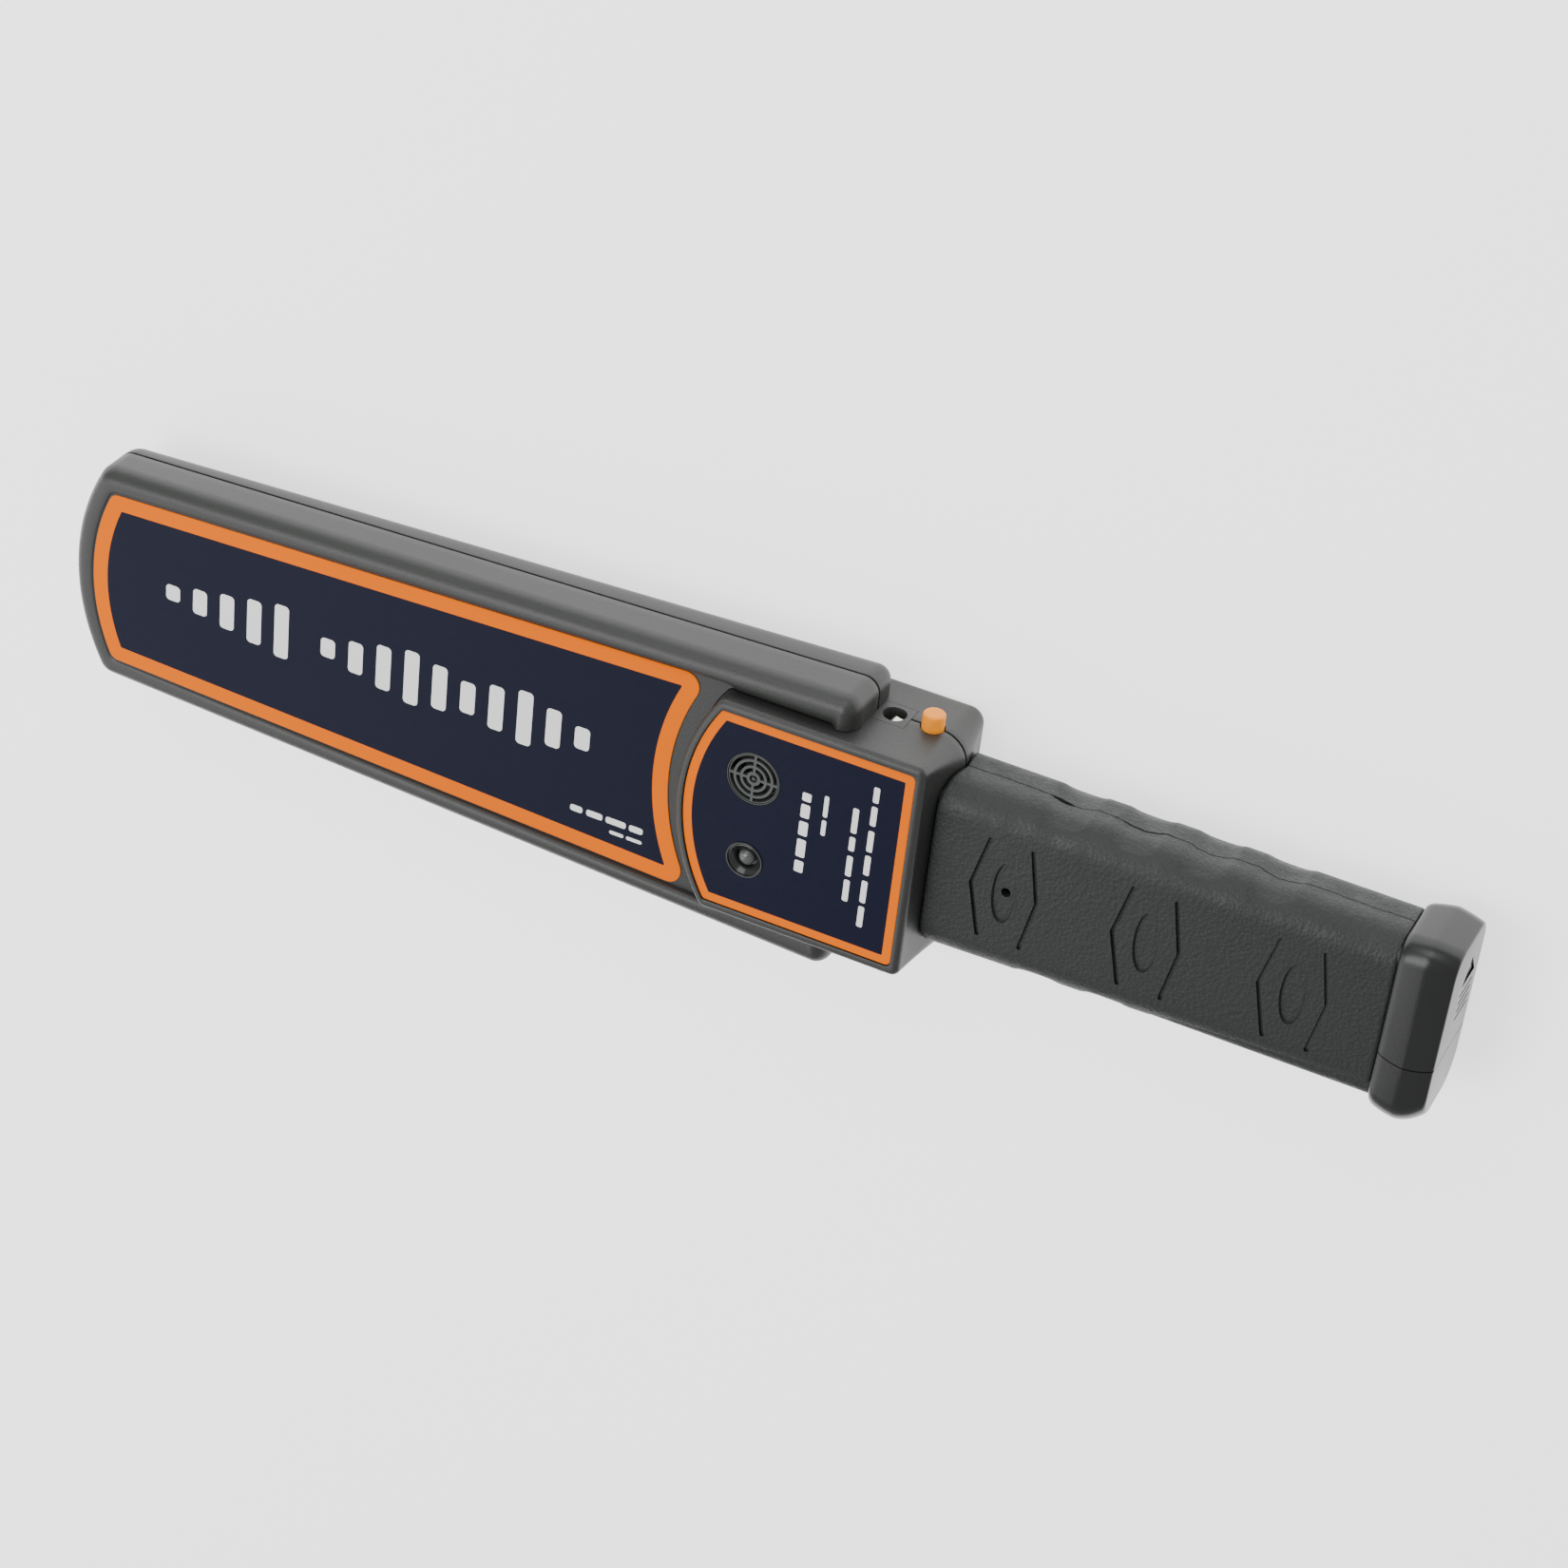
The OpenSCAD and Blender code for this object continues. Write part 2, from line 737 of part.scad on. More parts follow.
module socket_housing() {
    face_y = box_w / 2;
    color("#565855")
        difference() {
            block([socket_x - 4.65, face_y - 11.5, seam_z - 4.65],
                [socket_x + 4.65, face_y, seam_z + 4.65]);
            translate([socket_x, face_y - socket_mouth_t - 0.5, seam_z])
                rotate([-90, 0, 0]) cylinder(d = socket_d, h = 12);
            translate([socket_x, face_y - socket_depth, seam_z])
                rotate([-90, 0, 0]) cylinder(d = socket_d + 0.9, h = socket_depth - socket_mouth_t);
        }
}

module socket_pin() {
    color("silver")
        translate([socket_x, box_w / 2 - socket_depth, seam_z])
            rotate([-90, 0, 0]) {
                cylinder(d = 2, h = 3.4);
                translate([0, 0, 3.4]) cylinder(d1 = 2, d2 = 1.2, h = 0.6);
            }
}

module socket_spring_contact() {
    y0 = box_w / 2;
    color("#e6e2d2")
        translate([socket_x, y0, seam_z])
            block([2.6, -8.8, -1.2], [3, -5.4, 1.2]);
}

module mode_switch_knob() {
    w = 4.2;
    color("#1f2120")
        translate([switch_x, 0, switch_z]) {
            hull()
                for (s = [-1, 1])
                    translate([s * (w / 2 - 1.2), -box_w / 2 - 0.6, -1.4])
                        rotate([90, 0, 0]) {
                            translate([0, 1.4, 0]) cylinder(r = 1.5, h = 0.2, $fn = 32);
                            translate([0, 1.4, 4]) cylinder(r = 0.7, h = 0.2, $fn = 32);
                        }
            block([-stem_half, -box_w / 2 - 0.8, -1.3], [stem_half, -side_in_y + 2.6, 1.3]);
        }
}

module mode_switch_body() {
    y1 = -side_in_y + 0.2;
    slot = stem_half + switch_travel + 0.5;
    color("#b8bab8")
        difference() {
            union() {
                block([switch_x - 7, y1, switch_z - 3.6], [switch_x + 5.7, y1 + 5.2, switch_z + 3.4]);
                block([switch_x - 7, y1 + 3.5, board_top], [switch_x + 2, y1 + 5.2, switch_z]);
            }
            block([switch_x - slot, y1 - 1, switch_z - 1.6], [switch_x + slot, y1 + 2.8, switch_z + 1.6]);
        }
}

module main_board() {
    color("#1f5a3a")
        difference() {
            union() {
                block([4.5, -27, board_z], [55.5, 27, board_top]);
                block([50, -8, board_z], [94, 8, board_top]);
            }
            for (p = board_screw_xy)
                translate([p[0], p[1], board_z - 1]) cylinder(r = 1.3, h = 4);
            block([38.5, 20.5, board_z - 1], [56, 28, board_top + 1]);
            for (s = [-1, 1])
                translate([box_post[0], s * box_post[1], board_z - 1]) cylinder(r = 4.8, h = 4);
        }
}

module logic_chip() {
    color("#1a1a1c") {
        block([24, -6, board_top + 0.3], [36, 4, board_top + 2.3]);
        for (i = [0:6], s = [-1, 1])
            translate([25.2 + i * 1.6, s < 0 ? -8 : 4, board_top]) cube([0.6, 2, 0.5]);
    }
}

module amplifier_chip() {
    color("#1a1a1c") {
        block([26, 8, board_top + 0.3], [34, 13, board_top + 2.1]);
        for (i = [0:3], s = [-1, 1])
            translate([27 + i * 1.7, s < 0 ? 6.6 : 13, board_top]) cube([0.6, 1.4, 0.5]);
    }
}

module board_capacitors() {
    color("#243a6b")
        for (p = [[42, -12, 3.1, 8], [42, -4, 2.5, 7], [24, -17, 2.5, 7], [72, 0, 3, 6]])
            translate([p[0], p[1], board_top]) cylinder(r = p[2], h = p[3]);
}

module board_screws() {
    color("silver")
        for (p = board_screw_xy)
            translate([p[0], p[1], board_top]) {
                difference() {
                    cylinder(r = 2, h = 1.3);
                    translate([-1.4, -0.25, 0.7]) cube([2.8, 0.5, 1]);
                }
                translate([0, 0, -board_t - 5]) cylinder(r = 1.1, h = board_t + 5.5);
            }
}

module case_screws() {
    color("#8d8f90")
        for (p = case_screw_xy)
            translate([p[0], p[1], case_screw_seat_z]) {
                difference() {
                    translate([0, 0, -2]) cylinder(r = 2.6, h = 2);
                    for (a = [0, 90])
                        rotate([0, 0, a]) translate([-1.6, -0.35, -3]) cube([3.2, 0.7, 2]);
                }
                translate([0, 0, -0.5]) cylinder(r = 1.4, h = 12);
            }
}

module trimmer_body() {
    color("#2f66b0")
        translate([trimmer_x, 0, board_top])
            difference() {
                translate([-3.3, -3.3, 0]) cube([6.6, 6.6, 4.2]);
                translate([0, 0, 1.2]) cylinder(r = 1.6, h = 5);
            }
}

module trimmer_screw() {
    color("gold")
        translate([trimmer_x, 0, board_top + 1.3])
            difference() {
                cylinder(r = 1.52, h = 4.4);
                translate([-2, -0.25, 3.6]) cube([4, 0.5, 2]);
            }
}

motor_pos = [112, -13, 17];
module vibration_motor() {
    color("#a9abad")
        translate(motor_pos)
            rotate([0, 90, 0]) {
                cylinder(r = 3.4, h = 12);
                translate([0, 0, -2]) cylinder(r = 1.6, h = 2.5);
                translate([0, 0, 12]) cylinder(r = 0.5, h = 5);
            }
}

module motor_clip() {
    floor_z = grip_z - core_in_t / 2;
    color("#3c3e3b")
        translate([motor_pos[0], motor_pos[1], 0])
            difference() {
                block([2, -4.8, floor_z + 0.02], [10, 4.8, motor_pos[2] + 1]);
                translate([0, 0, motor_pos[2]]) rotate([0, 90, 0]) cylinder(r = 3.45, h = 12);
            }
}

module vibration_weight() {
    color("#77797b")
        translate([motor_pos[0] + 12.8, motor_pos[1], motor_pos[2]])
            rotate([0, 90, 0])
                difference() {
                    union() {
                        intersection() {
                            cylinder(r = 3.3, h = 3.6);
                            translate([0, -4, -1]) cube([8, 8, 6]);
                        }
                        cylinder(r = 1.3, h = 3.6);
                    }
                    translate([0, 0, -1]) cylinder(r = 0.55, h = 6);
                }
}

module coil_former() {
    color("#d9d5c4")
        difference() {
            union() {
                translate([coil_mid_x, 0, seam_z - 1.5])
                    linear_extrude(1.5) round_rect(coil_len + 5, 55, 20);
                for (x = [coil_x0 + 12, coil_x1 - 5], s = [-1, 1])
                    translate([x, s * 16, floor_z(x) + 0.1])
                        cylinder(r = 3, h = seam_z - 1 - floor_z(x));
            }
            translate([mid_post_x, 0, 0]) cylinder(r = 5.2, h = box_t);
        }
}

// Flat winding: a rounded rectangular ring
module winding(x, l, w, r, t, h) {
    translate([x, 0, seam_z])
        linear_extrude(h)
            difference() {
                round_rect(l, w, r);
                round_rect(l - 2 * t, w - 2 * t, r - t);
            }
}

module transmit_coil() {
    color("#b5652b") winding(coil_mid_x, coil_len, 50, 17, 4, 4);
}

module receive_coil_tip() {
    color("#c9792f")
        winding((coil_x0 + mid_post_x) / 2 - 0.5, mid_post_x - coil_x0 - 22, 38, 12, 3, 3);
}

module receive_coil_box() {
    color("#c9792f")
        winding((coil_x1 + mid_post_x) / 2 + 0.5, coil_x1 - mid_post_x - 22, 38, 12, 3, 3);
}

module coil_foam() {
    color("#55585a")
        translate([coil_mid_x, 0, seam_z + 4.1])
            linear_extrude(panel_z - wall - seam_z - 4.3)
                difference() {
                    round_rect(coil_len - 6, 44, 15);
                    translate([mid_post_x - coil_mid_x, 0]) circle(4.6);
                }
}

coil_lead_path = [[-31.8, 8, 20], [-26, 8, 20], [-17, 9, 19.5], [-8, 13, 19], [0, 17, 19],
    [8, 19, 19], [14, 19, 18.6], [17, 19, 17.4]];
module coil_leads() {
    color("#777777")
        for (s = [0, 1])
            tube([for (p = smooth_path(coil_lead_path, 4)) p + [0, -2.6 * s, 0]], 0.7);
}

module battery_case() {
    color("#b08a3e")
        translate([0, battery_y, 0])
            bar_x(battery_x0, battery_x1, battery_w, battery_t, 2, grip_z);
}

terminal_y = [battery_y - 6.35, battery_y + 6.35];
module battery_terminals() {
    color("silver")
        translate([battery_x0, 0, grip_z])
            rotate([0, -90, 0]) {
                translate([0, terminal_y[0], 0]) cylinder(r = 2.85, h = terminal_len);
                translate([0, terminal_y[1], 0]) cylinder(r = 4.1, h = terminal_len, $fn = 6);
            }
}

module battery_snap() {
    x1 = battery_x0 - 0.4;
    color("#1b1b1b")
        difference() {
            block([x1 - 3.6, battery_y - 12.8, grip_z - 6], [x1, battery_y + 12.8, grip_z + 6]);
            translate([x1 - 1.8, terminal_y[0], grip_z]) rotate([0, 90, 0]) cylinder(r = 3, h = 4);
            translate([x1 - 1.8, terminal_y[1], grip_z]) rotate([0, 90, 0]) cylinder(r = 4.3, h = 4);
        }
}

// Route of a battery lead from the snap to the board's tongue
function lead_path(y0, y1) = [[battery_x0 - 4.1, y0, grip_z], [battery_x0 - 9, y0, grip_z],
    [battery_x0 - 20, y0 - 1, grip_z + 1], [118, y1 + 2, grip_z + 2], [106, y1, grip_z + 2],
    [97, y1, grip_z + 1.5], [92, y1, grip_z + 1], [90, y1, board_top + 0.75]];
module battery_lead_red() {
    color("#b02020") tube(smooth_path(lead_path(terminal_y[0] + 2, 5), 4), 0.7);
}

module battery_lead_black() {
    color("#151515") tube(smooth_path(lead_path(terminal_y[0] - 2, 1.5), 4), 0.7);
}

front_shell();
rear_shell();
main_label();
control_label();
rating_plate();
grip_sleeve();
end_collar();
battery_door();
door_pad();
speaker_grille();
speaker_gasket();
buzzer();
lamp_bezel();
indicator_lamp();
button_cap();
button_spring();
button_switch();
socket_housing();
socket_pin();
socket_spring_contact();
mode_switch_knob();
mode_switch_body();
main_board();
logic_chip();
amplifier_chip();
board_capacitors();
board_screws();
case_screws();
trimmer_body();
trimmer_screw();
vibration_motor();
motor_clip();
vibration_weight();
coil_former();
transmit_coil();
receive_coil_tip();
receive_coil_box();
coil_foam();
coil_leads();
battery_case();
battery_terminals();
battery_snap();
battery_lead_red();
battery_lead_black();
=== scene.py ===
import json
import math

import bmesh
import bpy
import numpy as np
from mathutils import Matrix, Vector


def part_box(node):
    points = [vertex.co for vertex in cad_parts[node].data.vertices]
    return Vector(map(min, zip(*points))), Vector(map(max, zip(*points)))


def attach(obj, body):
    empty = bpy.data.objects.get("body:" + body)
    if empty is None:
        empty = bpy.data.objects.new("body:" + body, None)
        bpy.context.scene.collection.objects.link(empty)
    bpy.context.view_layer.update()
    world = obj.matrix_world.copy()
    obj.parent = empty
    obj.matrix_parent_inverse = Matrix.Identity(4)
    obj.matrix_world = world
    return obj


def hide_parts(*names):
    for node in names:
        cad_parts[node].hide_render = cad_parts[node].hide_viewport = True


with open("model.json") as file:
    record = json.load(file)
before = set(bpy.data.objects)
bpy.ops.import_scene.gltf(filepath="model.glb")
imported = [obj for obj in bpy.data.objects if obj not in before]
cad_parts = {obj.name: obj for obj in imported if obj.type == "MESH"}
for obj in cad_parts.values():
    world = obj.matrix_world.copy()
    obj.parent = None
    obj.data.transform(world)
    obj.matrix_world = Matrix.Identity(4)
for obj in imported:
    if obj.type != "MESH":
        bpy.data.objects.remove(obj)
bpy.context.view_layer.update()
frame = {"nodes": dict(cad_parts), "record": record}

# All lengths below are millimetres, as in the CAD source. MM turns them into metres.
MM = 0.001


def node_box(name):
    """Lowest and highest corner of a CAD node, in millimetres."""
    low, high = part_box(name)
    return np.array(low) / MM, np.array(high) / MM


# -------- places taken from the CAD
front_low, front_high = node_box("front_shell")
cap_high = node_box("end_collar")[1]
door_low, door_high = node_box("battery_door")
grip_low, grip_high = node_box("grip_sleeve")
label_low, label_high = node_box("main_label")
small_low, small_high = node_box("control_label")
grille_low, grille_high = node_box("speaker_grille")
bezel_low, bezel_high = node_box("lamp_bezel")
button_low, button_high = node_box("button_cap")
socket_low, socket_high = node_box("socket_housing")
knob_low, knob_high = node_box("mode_switch_knob")
plate_low, plate_high = node_box("rating_plate")
gasket_high = node_box("speaker_gasket")[1]

TIP_X = front_low[0]
END_X = cap_high[0]
PADDLE_HALF = front_high[1]
SEAM_Z = front_low[2]
BOX_TOP = front_high[2]
PANEL_Z = label_low[2]
LABEL_Z = small_low[2]
GRIP_X0, GRIP_X1 = grip_low[0], grip_high[0]
GRIP_Z = (grip_low[2] + grip_high[2]) / 2
GRIP_HALF = grip_high[1]
GRIP_T = grip_high[2] - grip_low[2]
CAP_HALF = max(cap_high[1], door_high[1])
CAP_T = door_high[2] - door_low[2]
SPEAKER = (grille_low + grille_high) / 2
GRILLE_R = (grille_high[0] - grille_low[0]) / 2
LAMP = (bezel_low + bezel_high) / 2
BEZEL_R = (bezel_high[0] - bezel_low[0]) / 2
BUTTON = (button_low + button_high) / 2
SOCKET = (socket_low + socket_high) / 2
KNOB = (knob_low + knob_high) / 2
TRIMMER = sum(node_box("trimmer_screw")) / 2
SPLIT_Y = door_low[1]

# -------- camera, made early
camera_data = bpy.data.cameras.new("camera")
camera_data.lens = 87.27
camera_data.sensor_width = 36.0
camera_data.clip_start = 0.05
camera_data.clip_end = 30.0
camera = bpy.data.objects.new("camera", camera_data)
bpy.context.scene.collection.objects.link(camera)
camera_place = Vector((339.0, 557.4, 805.5)) * MM
right = Vector((0.8938, 0.0991, -0.4373)).normalized()
back = Vector((0.3182, 0.5469, 0.7744)).normalized()
up = back.cross(right).normalized()
right = up.cross(back).normalized()
camera.matrix_world = Matrix.Translation(camera_place) @ Matrix((right, up, back)).transposed().to_4x4()
bpy.context.scene.camera = camera


# -------- outlines
def unit(v):
    return v / np.linalg.norm(v)


def arc(cx, cy, r, a0, a1, n=48):
    a = np.radians(np.linspace(a0, a1, n))
    return np.stack([cx + r * np.cos(a), cy + r * np.sin(a)], 1)


def quarter(first, count):
    """Steps round an edge up to 90 degrees: how far in and how far up each is, from 0 to 1."""
    a = np.radians(np.linspace(first, 90, count))
    return zip(1 - np.cos(a), np.sin(a))


def bow(centre_x, r, half):
    """The left side of a circle, cut off at half above and below the middle."""
    reach = math.degrees(math.asin(half / r))
    return arc(centre_x, 0, r, 180 - reach, 180 + reach)


def outline(edges, radii, counts, fillet_n=8):
    """Closed counter-clockwise outline. radii[i] rounds the corner where edges[i] starts."""
    edges = [np.asarray(e, float) for e in edges]
    m = len(edges)
    trims = []
    for i in range(m):
        t_in = unit(edges[i - 1][-1] - edges[i - 1][-2])
        t_out = unit(edges[i][1] - edges[i][0])
        turn = math.acos(max(-1.0, min(1.0, float(t_in @ t_out))))
        trims.append((radii[i] * math.tan(turn / 2), turn))
    runs = []
    for i in range(m):
        e = edges[i]
        s = np.concatenate([[0], np.cumsum(np.linalg.norm(np.diff(e, axis=0), axis=1))])
        t = np.linspace(trims[i][0], s[-1] - trims[(i + 1) % m][0], counts[i])
        p = np.stack([np.interp(t, s, e[:, 0]), np.interp(t, s, e[:, 1])], 1)
        runs.append(p)
    points = []
    for i in range(m):
        points.append(runs[i])
        j = (i + 1) % m
        a, b = runs[i][-1], runs[j][0]
        da = unit(runs[i][-1] - runs[i][-2])
        db = unit(runs[j][1] - runs[j][0])
        k = 4 / 3 * math.tan(trims[j][1] / 4) * radii[j]
        u = np.linspace(0, 1, fillet_n + 2)[1:-1, None]
        points.append((1 - u) ** 3 * a + 3 * (1 - u) ** 2 * u * (a + da * k)
                      + 3 * (1 - u) * u ** 2 * (b - db * k) + u ** 3 * b)
    return np.concatenate(points)


def rounded_bar(x0, y0, x1, y1, r, n=6):
    """Rectangle with round corners, counter-clockwise. Its short sides stay a little flat."""
    r = min(r, min(x1 - x0, y1 - y0) / 2 * 0.999)
    p = []
    for cx, cy, a in ((x1 - r, y0 + r, -90), (x1 - r, y1 - r, 0), (x0 + r, y1 - r, 90),
                      (x0 + r, y0 + r, 180)):
        p.append(arc(cx, cy, r, a, a + 90, n))
    return np.concatenate(p)


def bowed_plan(left, end_x, half, radii, counts, fillet_n=8):
    """Outline with a curved left side, a straight end and a corner radius for each of the two."""
    low_corner, high_corner = (end_x, -half), (end_x, half)
    edges = [[left[-1], low_corner], [low_corner, high_corner], [high_corner, left[0]], left]
    return outline(edges, [radii[0], radii[1], radii[1], radii[0]], counts, fillet_n)


def normals_of(p):
    """Outward normals of a counter-clockwise outline."""
    t = np.roll(p, -1, axis=0) - np.roll(p, 1, axis=0)
    t /= np.linalg.norm(t, axis=1)[:, None]
    return np.stack([t[:, 1], -t[:, 0]], 1)


def inwards(p, inset):
    """The outline p moved inwards, by one distance or by one for each point."""
    return p - normals_of(p) * np.broadcast_to(inset, len(p))[:, None]


def smooth_ring(a, times):
    """Evens out values that run round a closed outline."""
    for _ in range(times):
        a = (np.roll(a, 1) + 2 * a + np.roll(a, -1)) / 4
    return a


# -------- meshes
def make_object(name, verts, faces, materials=(), face_material=None):
    mesh = bpy.data.meshes.new(name)
    mesh.from_pydata([tuple(v) for v in np.asarray(verts, float) * MM], [], faces)
    for m in materials:
        mesh.materials.append(m)
    if face_material is not None:
        mesh.polygons.foreach_set("material_index", face_material)
    obj = bpy.data.objects.new(name, mesh)
    bpy.context.scene.collection.objects.link(obj)
    tidy_normals(obj)
    return obj


def tidy_normals(obj):
    bm = bmesh.new()
    bm.from_mesh(obj.data)
    bmesh.ops.recalc_face_normals(bm, faces=bm.faces)
    if bm.calc_volume(signed=True) < 0:
        bmesh.ops.reverse_faces(bm, faces=bm.faces)
    bm.to_mesh(obj.data)
    bm.free()


def shade(obj, angle=30):
    obj.data.shade_smooth()
    obj.data.set_sharp_from_angle(angle=math.radians(angle))


def band(j, k, n):
    """Quads between ring j and ring k, each of n points."""
    return [(j * n + i, j * n + (i + 1) % n, k * n + (i + 1) % n, k * n + i) for i in range(n)]


def loft(name, rings, materials=(), ring_close=False):
    """Rings of equal length, each (n, 3), joined by quads. The ends are closed by one face each."""
    m, n = len(rings), len(rings[0])
    faces = []
    for j in range(m if ring_close else m - 1):
        faces += band(j, (j + 1) % m, n)
    if not ring_close:
        faces.append(tuple(range(n))[::-1])
        faces.append(tuple(range((m - 1) * n, m * n)))
    return make_object(name, np.concatenate(rings), faces, materials)


def at_z(p, z):
    z = np.broadcast_to(np.asarray(z, float), (len(p),))
    return np.concatenate([p, z[:, None]], 1)


def lathe(name, profile, centre, axis="Z", n=64, materials=()):
    """Profile points (radius, height) turned about an axis through centre."""
    a = np.linspace(0, 2 * math.pi, n, endpoint=False)
    rings = []
    for r, h in profile:
        r = max(r, 1e-3)
        c, s = r * np.cos(a), r * np.sin(a)
        if axis == "Z":
            ring = np.stack([c, s, np.full(n, h)], 1)
        elif axis == "Y":
            ring = np.stack([s, np.full(n, h), c], 1)
        else:
            ring = np.stack([np.full(n, h), c, s], 1)
        rings.append(ring + np.asarray(centre, float))
    return loft(name, rings, materials)


def prism(name, points, z0, z1, materials=()):
    points = np.asarray(points, float)
    return loft(name, [at_z(points, z0), at_z(points, z1)], materials)


def block(name, low, high, materials=()):
    (x0, y0, z0), (x1, y1, z1) = low, high
    p = [(x0, y0), (x1, y0), (x1, y1), (x0, y1)]
    return prism(name, p, z0, z1, materials)


def rod(name, centre, r, h0, h1, axis="Z", n=64, materials=()):
    """A cylinder from height h0 to h1 along the axis, used for cuts and posts."""
    return lathe(name, [(r, h0), (r, h1)], centre, axis, n, materials)


def rods(name, places, r, z0, z1, n):
    """A rod along Z at each place."""
    return [rod(name, (x, y, 0), r, z0, z1, n=n) for x, y in places]


def foot(p):
    """The place below p at height 0."""
    return p[0], p[1], 0


def stroke(points, width, n=7):
    """Outline of a bent line with round ends, counter-clockwise."""
    p = np.asarray(points, float)
    d = np.diff(p, axis=0)
    d /= np.linalg.norm(d, axis=1)[:, None]
    side = np.stack([d[:, 1], -d[:, 0]], 1)
    mid = unit(side[0] + side[1])
    mitre = mid / float(mid @ side[0])
    a_end = math.degrees(math.atan2(side[1][1], side[1][0]))
    a_start = math.degrees(math.atan2(-side[0][1], -side[0][0]))
    r = width / 2
    return np.concatenate([[p[1] + mitre * r], arc(p[2][0], p[2][1], r, a_end, a_end + 180, n),
                           [p[1] - mitre * r], arc(p[0][0], p[0][1], r, a_start, a_start + 180, n)])


def boolean(obj, cutters, operation="DIFFERENCE"):
    """Applies a boolean with each cutter in turn, then removes the cutters."""
    for c in cutters:
        mod = obj.modifiers.new("cut", "BOOLEAN")
        mod.operation = operation
        mod.solver = "MANIFOLD"
        mod.object = c
        bpy.context.view_layer.update()
        graph = bpy.context.evaluated_depsgraph_get()
        mesh = bpy.data.meshes.new_from_object(obj.evaluated_get(graph))
        obj.modifiers.remove(mod)
        old = obj.data
        obj.data = mesh
        keep_materials(obj, old)
        bpy.data.meshes.remove(old)
        remove(c)
    return obj


def keep_materials(obj, old):
    """Faces that a cutter made take the piece's first material."""
    count = len(old.materials)
    index = np.zeros(len(obj.data.polygons), np.int32)
    obj.data.polygons.foreach_get("material_index", index)
    index[index >= count] = 0
    materials = list(old.materials)
    obj.data.materials.clear()
    for m in materials:
        obj.data.materials.append(m)
    obj.data.polygons.foreach_set("material_index", index)


def remove(obj):
    mesh = obj.data
    bpy.data.objects.remove(obj)
    bpy.data.meshes.remove(mesh)


# -------- materials
def srgb(r, g, b):
    def one(c):
        c /= 255
        return c / 12.92 if c <= 0.04045 else ((c + 0.055) / 1.055) ** 2.4
    return (one(r), one(g), one(b), 1.0)


class Nodes:
    """A material with short calls for its nodes."""

    def __init__(self, name):
        self.material = bpy.data.materials.new(name)
        self.material.use_nodes = True
        self.tree = self.material.node_tree
        self.tree.nodes.clear()
        out = self.tree.nodes.new("ShaderNodeOutputMaterial")
        self.shader = self.tree.nodes.new("ShaderNodeBsdfPrincipled")
        self.link(self.shader.outputs[0], out.inputs[0])
        self.coords = self.tree.nodes.new("ShaderNodeTexCoord").outputs["Object"]

    def link(self, a, b):
        self.tree.links.new(a, b)

    def feed(self, socket, value):
        """Links a node's output to the socket, or sets the socket to a fixed value."""
        if isinstance(value, bpy.types.NodeSocket):
            self.link(value, socket)
        elif value is not None:
            socket.default_value = value

    def add(self, kind, **inputs):
        node = self.tree.nodes.new("ShaderNode" + kind)
        for key, value in inputs.items():
            self.feed(node.inputs[key.replace("_", " ")], value)
        return node

    def scaled(self, scale):
        return self.add("Mapping", Scale=scale, Vector=self.coords).outputs[0]

    def noise(self, scale, detail=3.0, rough=0.5, vector=None):
        return self.add("TexNoise", Scale=scale, Detail=detail, Roughness=rough,
                        Vector=vector or self.coords).outputs["Fac"]

    def cells(self, scale):
        return self.add("TexVoronoi", Scale=scale, Vector=self.coords).outputs["Distance"]

    def ramp(self, value, stops):
        node = self.tree.nodes.new("ShaderNodeValToRGB")
        elements = node.color_ramp.elements
        for i in (0, -1):
            elements[i].position, elements[i].color = stops[i]
        for position, colour in stops[1:-1]:
            elements.new(position).color = colour
        self.link(value, node.inputs[0])
        return node.outputs[0]

    def span(self, value, low, high, to_low, to_high):
        return self.add("MapRange", Value=value, From_Min=low, From_Max=high,
                        To_Min=to_low, To_Max=to_high).outputs[0]

    def math(self, operation, a, b):
        node = self.tree.nodes.new("ShaderNodeMath")
        node.operation = operation
        self.feed(node.inputs[0], a)
        self.feed(node.inputs[1], b)
        return node.outputs[0]

    def blend(self, a, share_a, b, share_b):
        return self.math("ADD", self.math("MULTIPLY", a, share_a), self.math("MULTIPLY", b, share_b))

    def bump(self, height, distance, strength=1.0, normal=None):
        return self.add("Bump", Distance=distance, Strength=strength, Height=height,
                        Normal=normal).outputs[0]

    def finish(self, colour=None, roughness=None, normal=None, **fixed):
        looks = {"Base Color": colour, "Roughness": roughness, "Normal": normal}
        looks.update({key.replace("_", " "): value for key, value in fixed.items()})
        for key, value in looks.items():
            self.feed(self.shader.inputs[key], value)
        return self.material


def tone(c, k):
    return (c[0] * k, c[1] * k, c[2] * k, 1.0)


def moulded(name, rgb, rough=(0.42, 0.52), grain=1500.0, depth=0.00004, spread=0.08,
            specular=0.5, sparkle=0.0, **fixed):
    """Moulded plastic: a spark-eroded grain, faint flow marks and slightly uneven gloss."""
    n = Nodes(name)
    colour = srgb(*rgb)
    broad = n.noise(18.0, 4.0, 0.6)
    fine = n.noise(grain, 2.0, 0.6)
    pits = n.cells(grain * 1.6)
    mix = n.blend(fine, 0.6, pits, 0.5)
    colours = n.ramp(n.blend(broad, 0.75, fine, 0.25),
                     [(0.25, tone(colour, 1 - spread)), (0.75, tone(colour, 1 + spread))])
    gloss = n.math("ADD", broad, n.math("MULTIPLY", fine, sparkle))
    roughness = n.span(gloss, 0.3, 0.75 + sparkle, *rough)
    soft = n.bump(n.noise(120.0, 3.0), 0.00006, 0.5)
    normal = n.bump(mix, depth, 1.0, soft)
    return n.finish(colours, roughness, normal, Specular_IOR_Level=specular, **fixed)


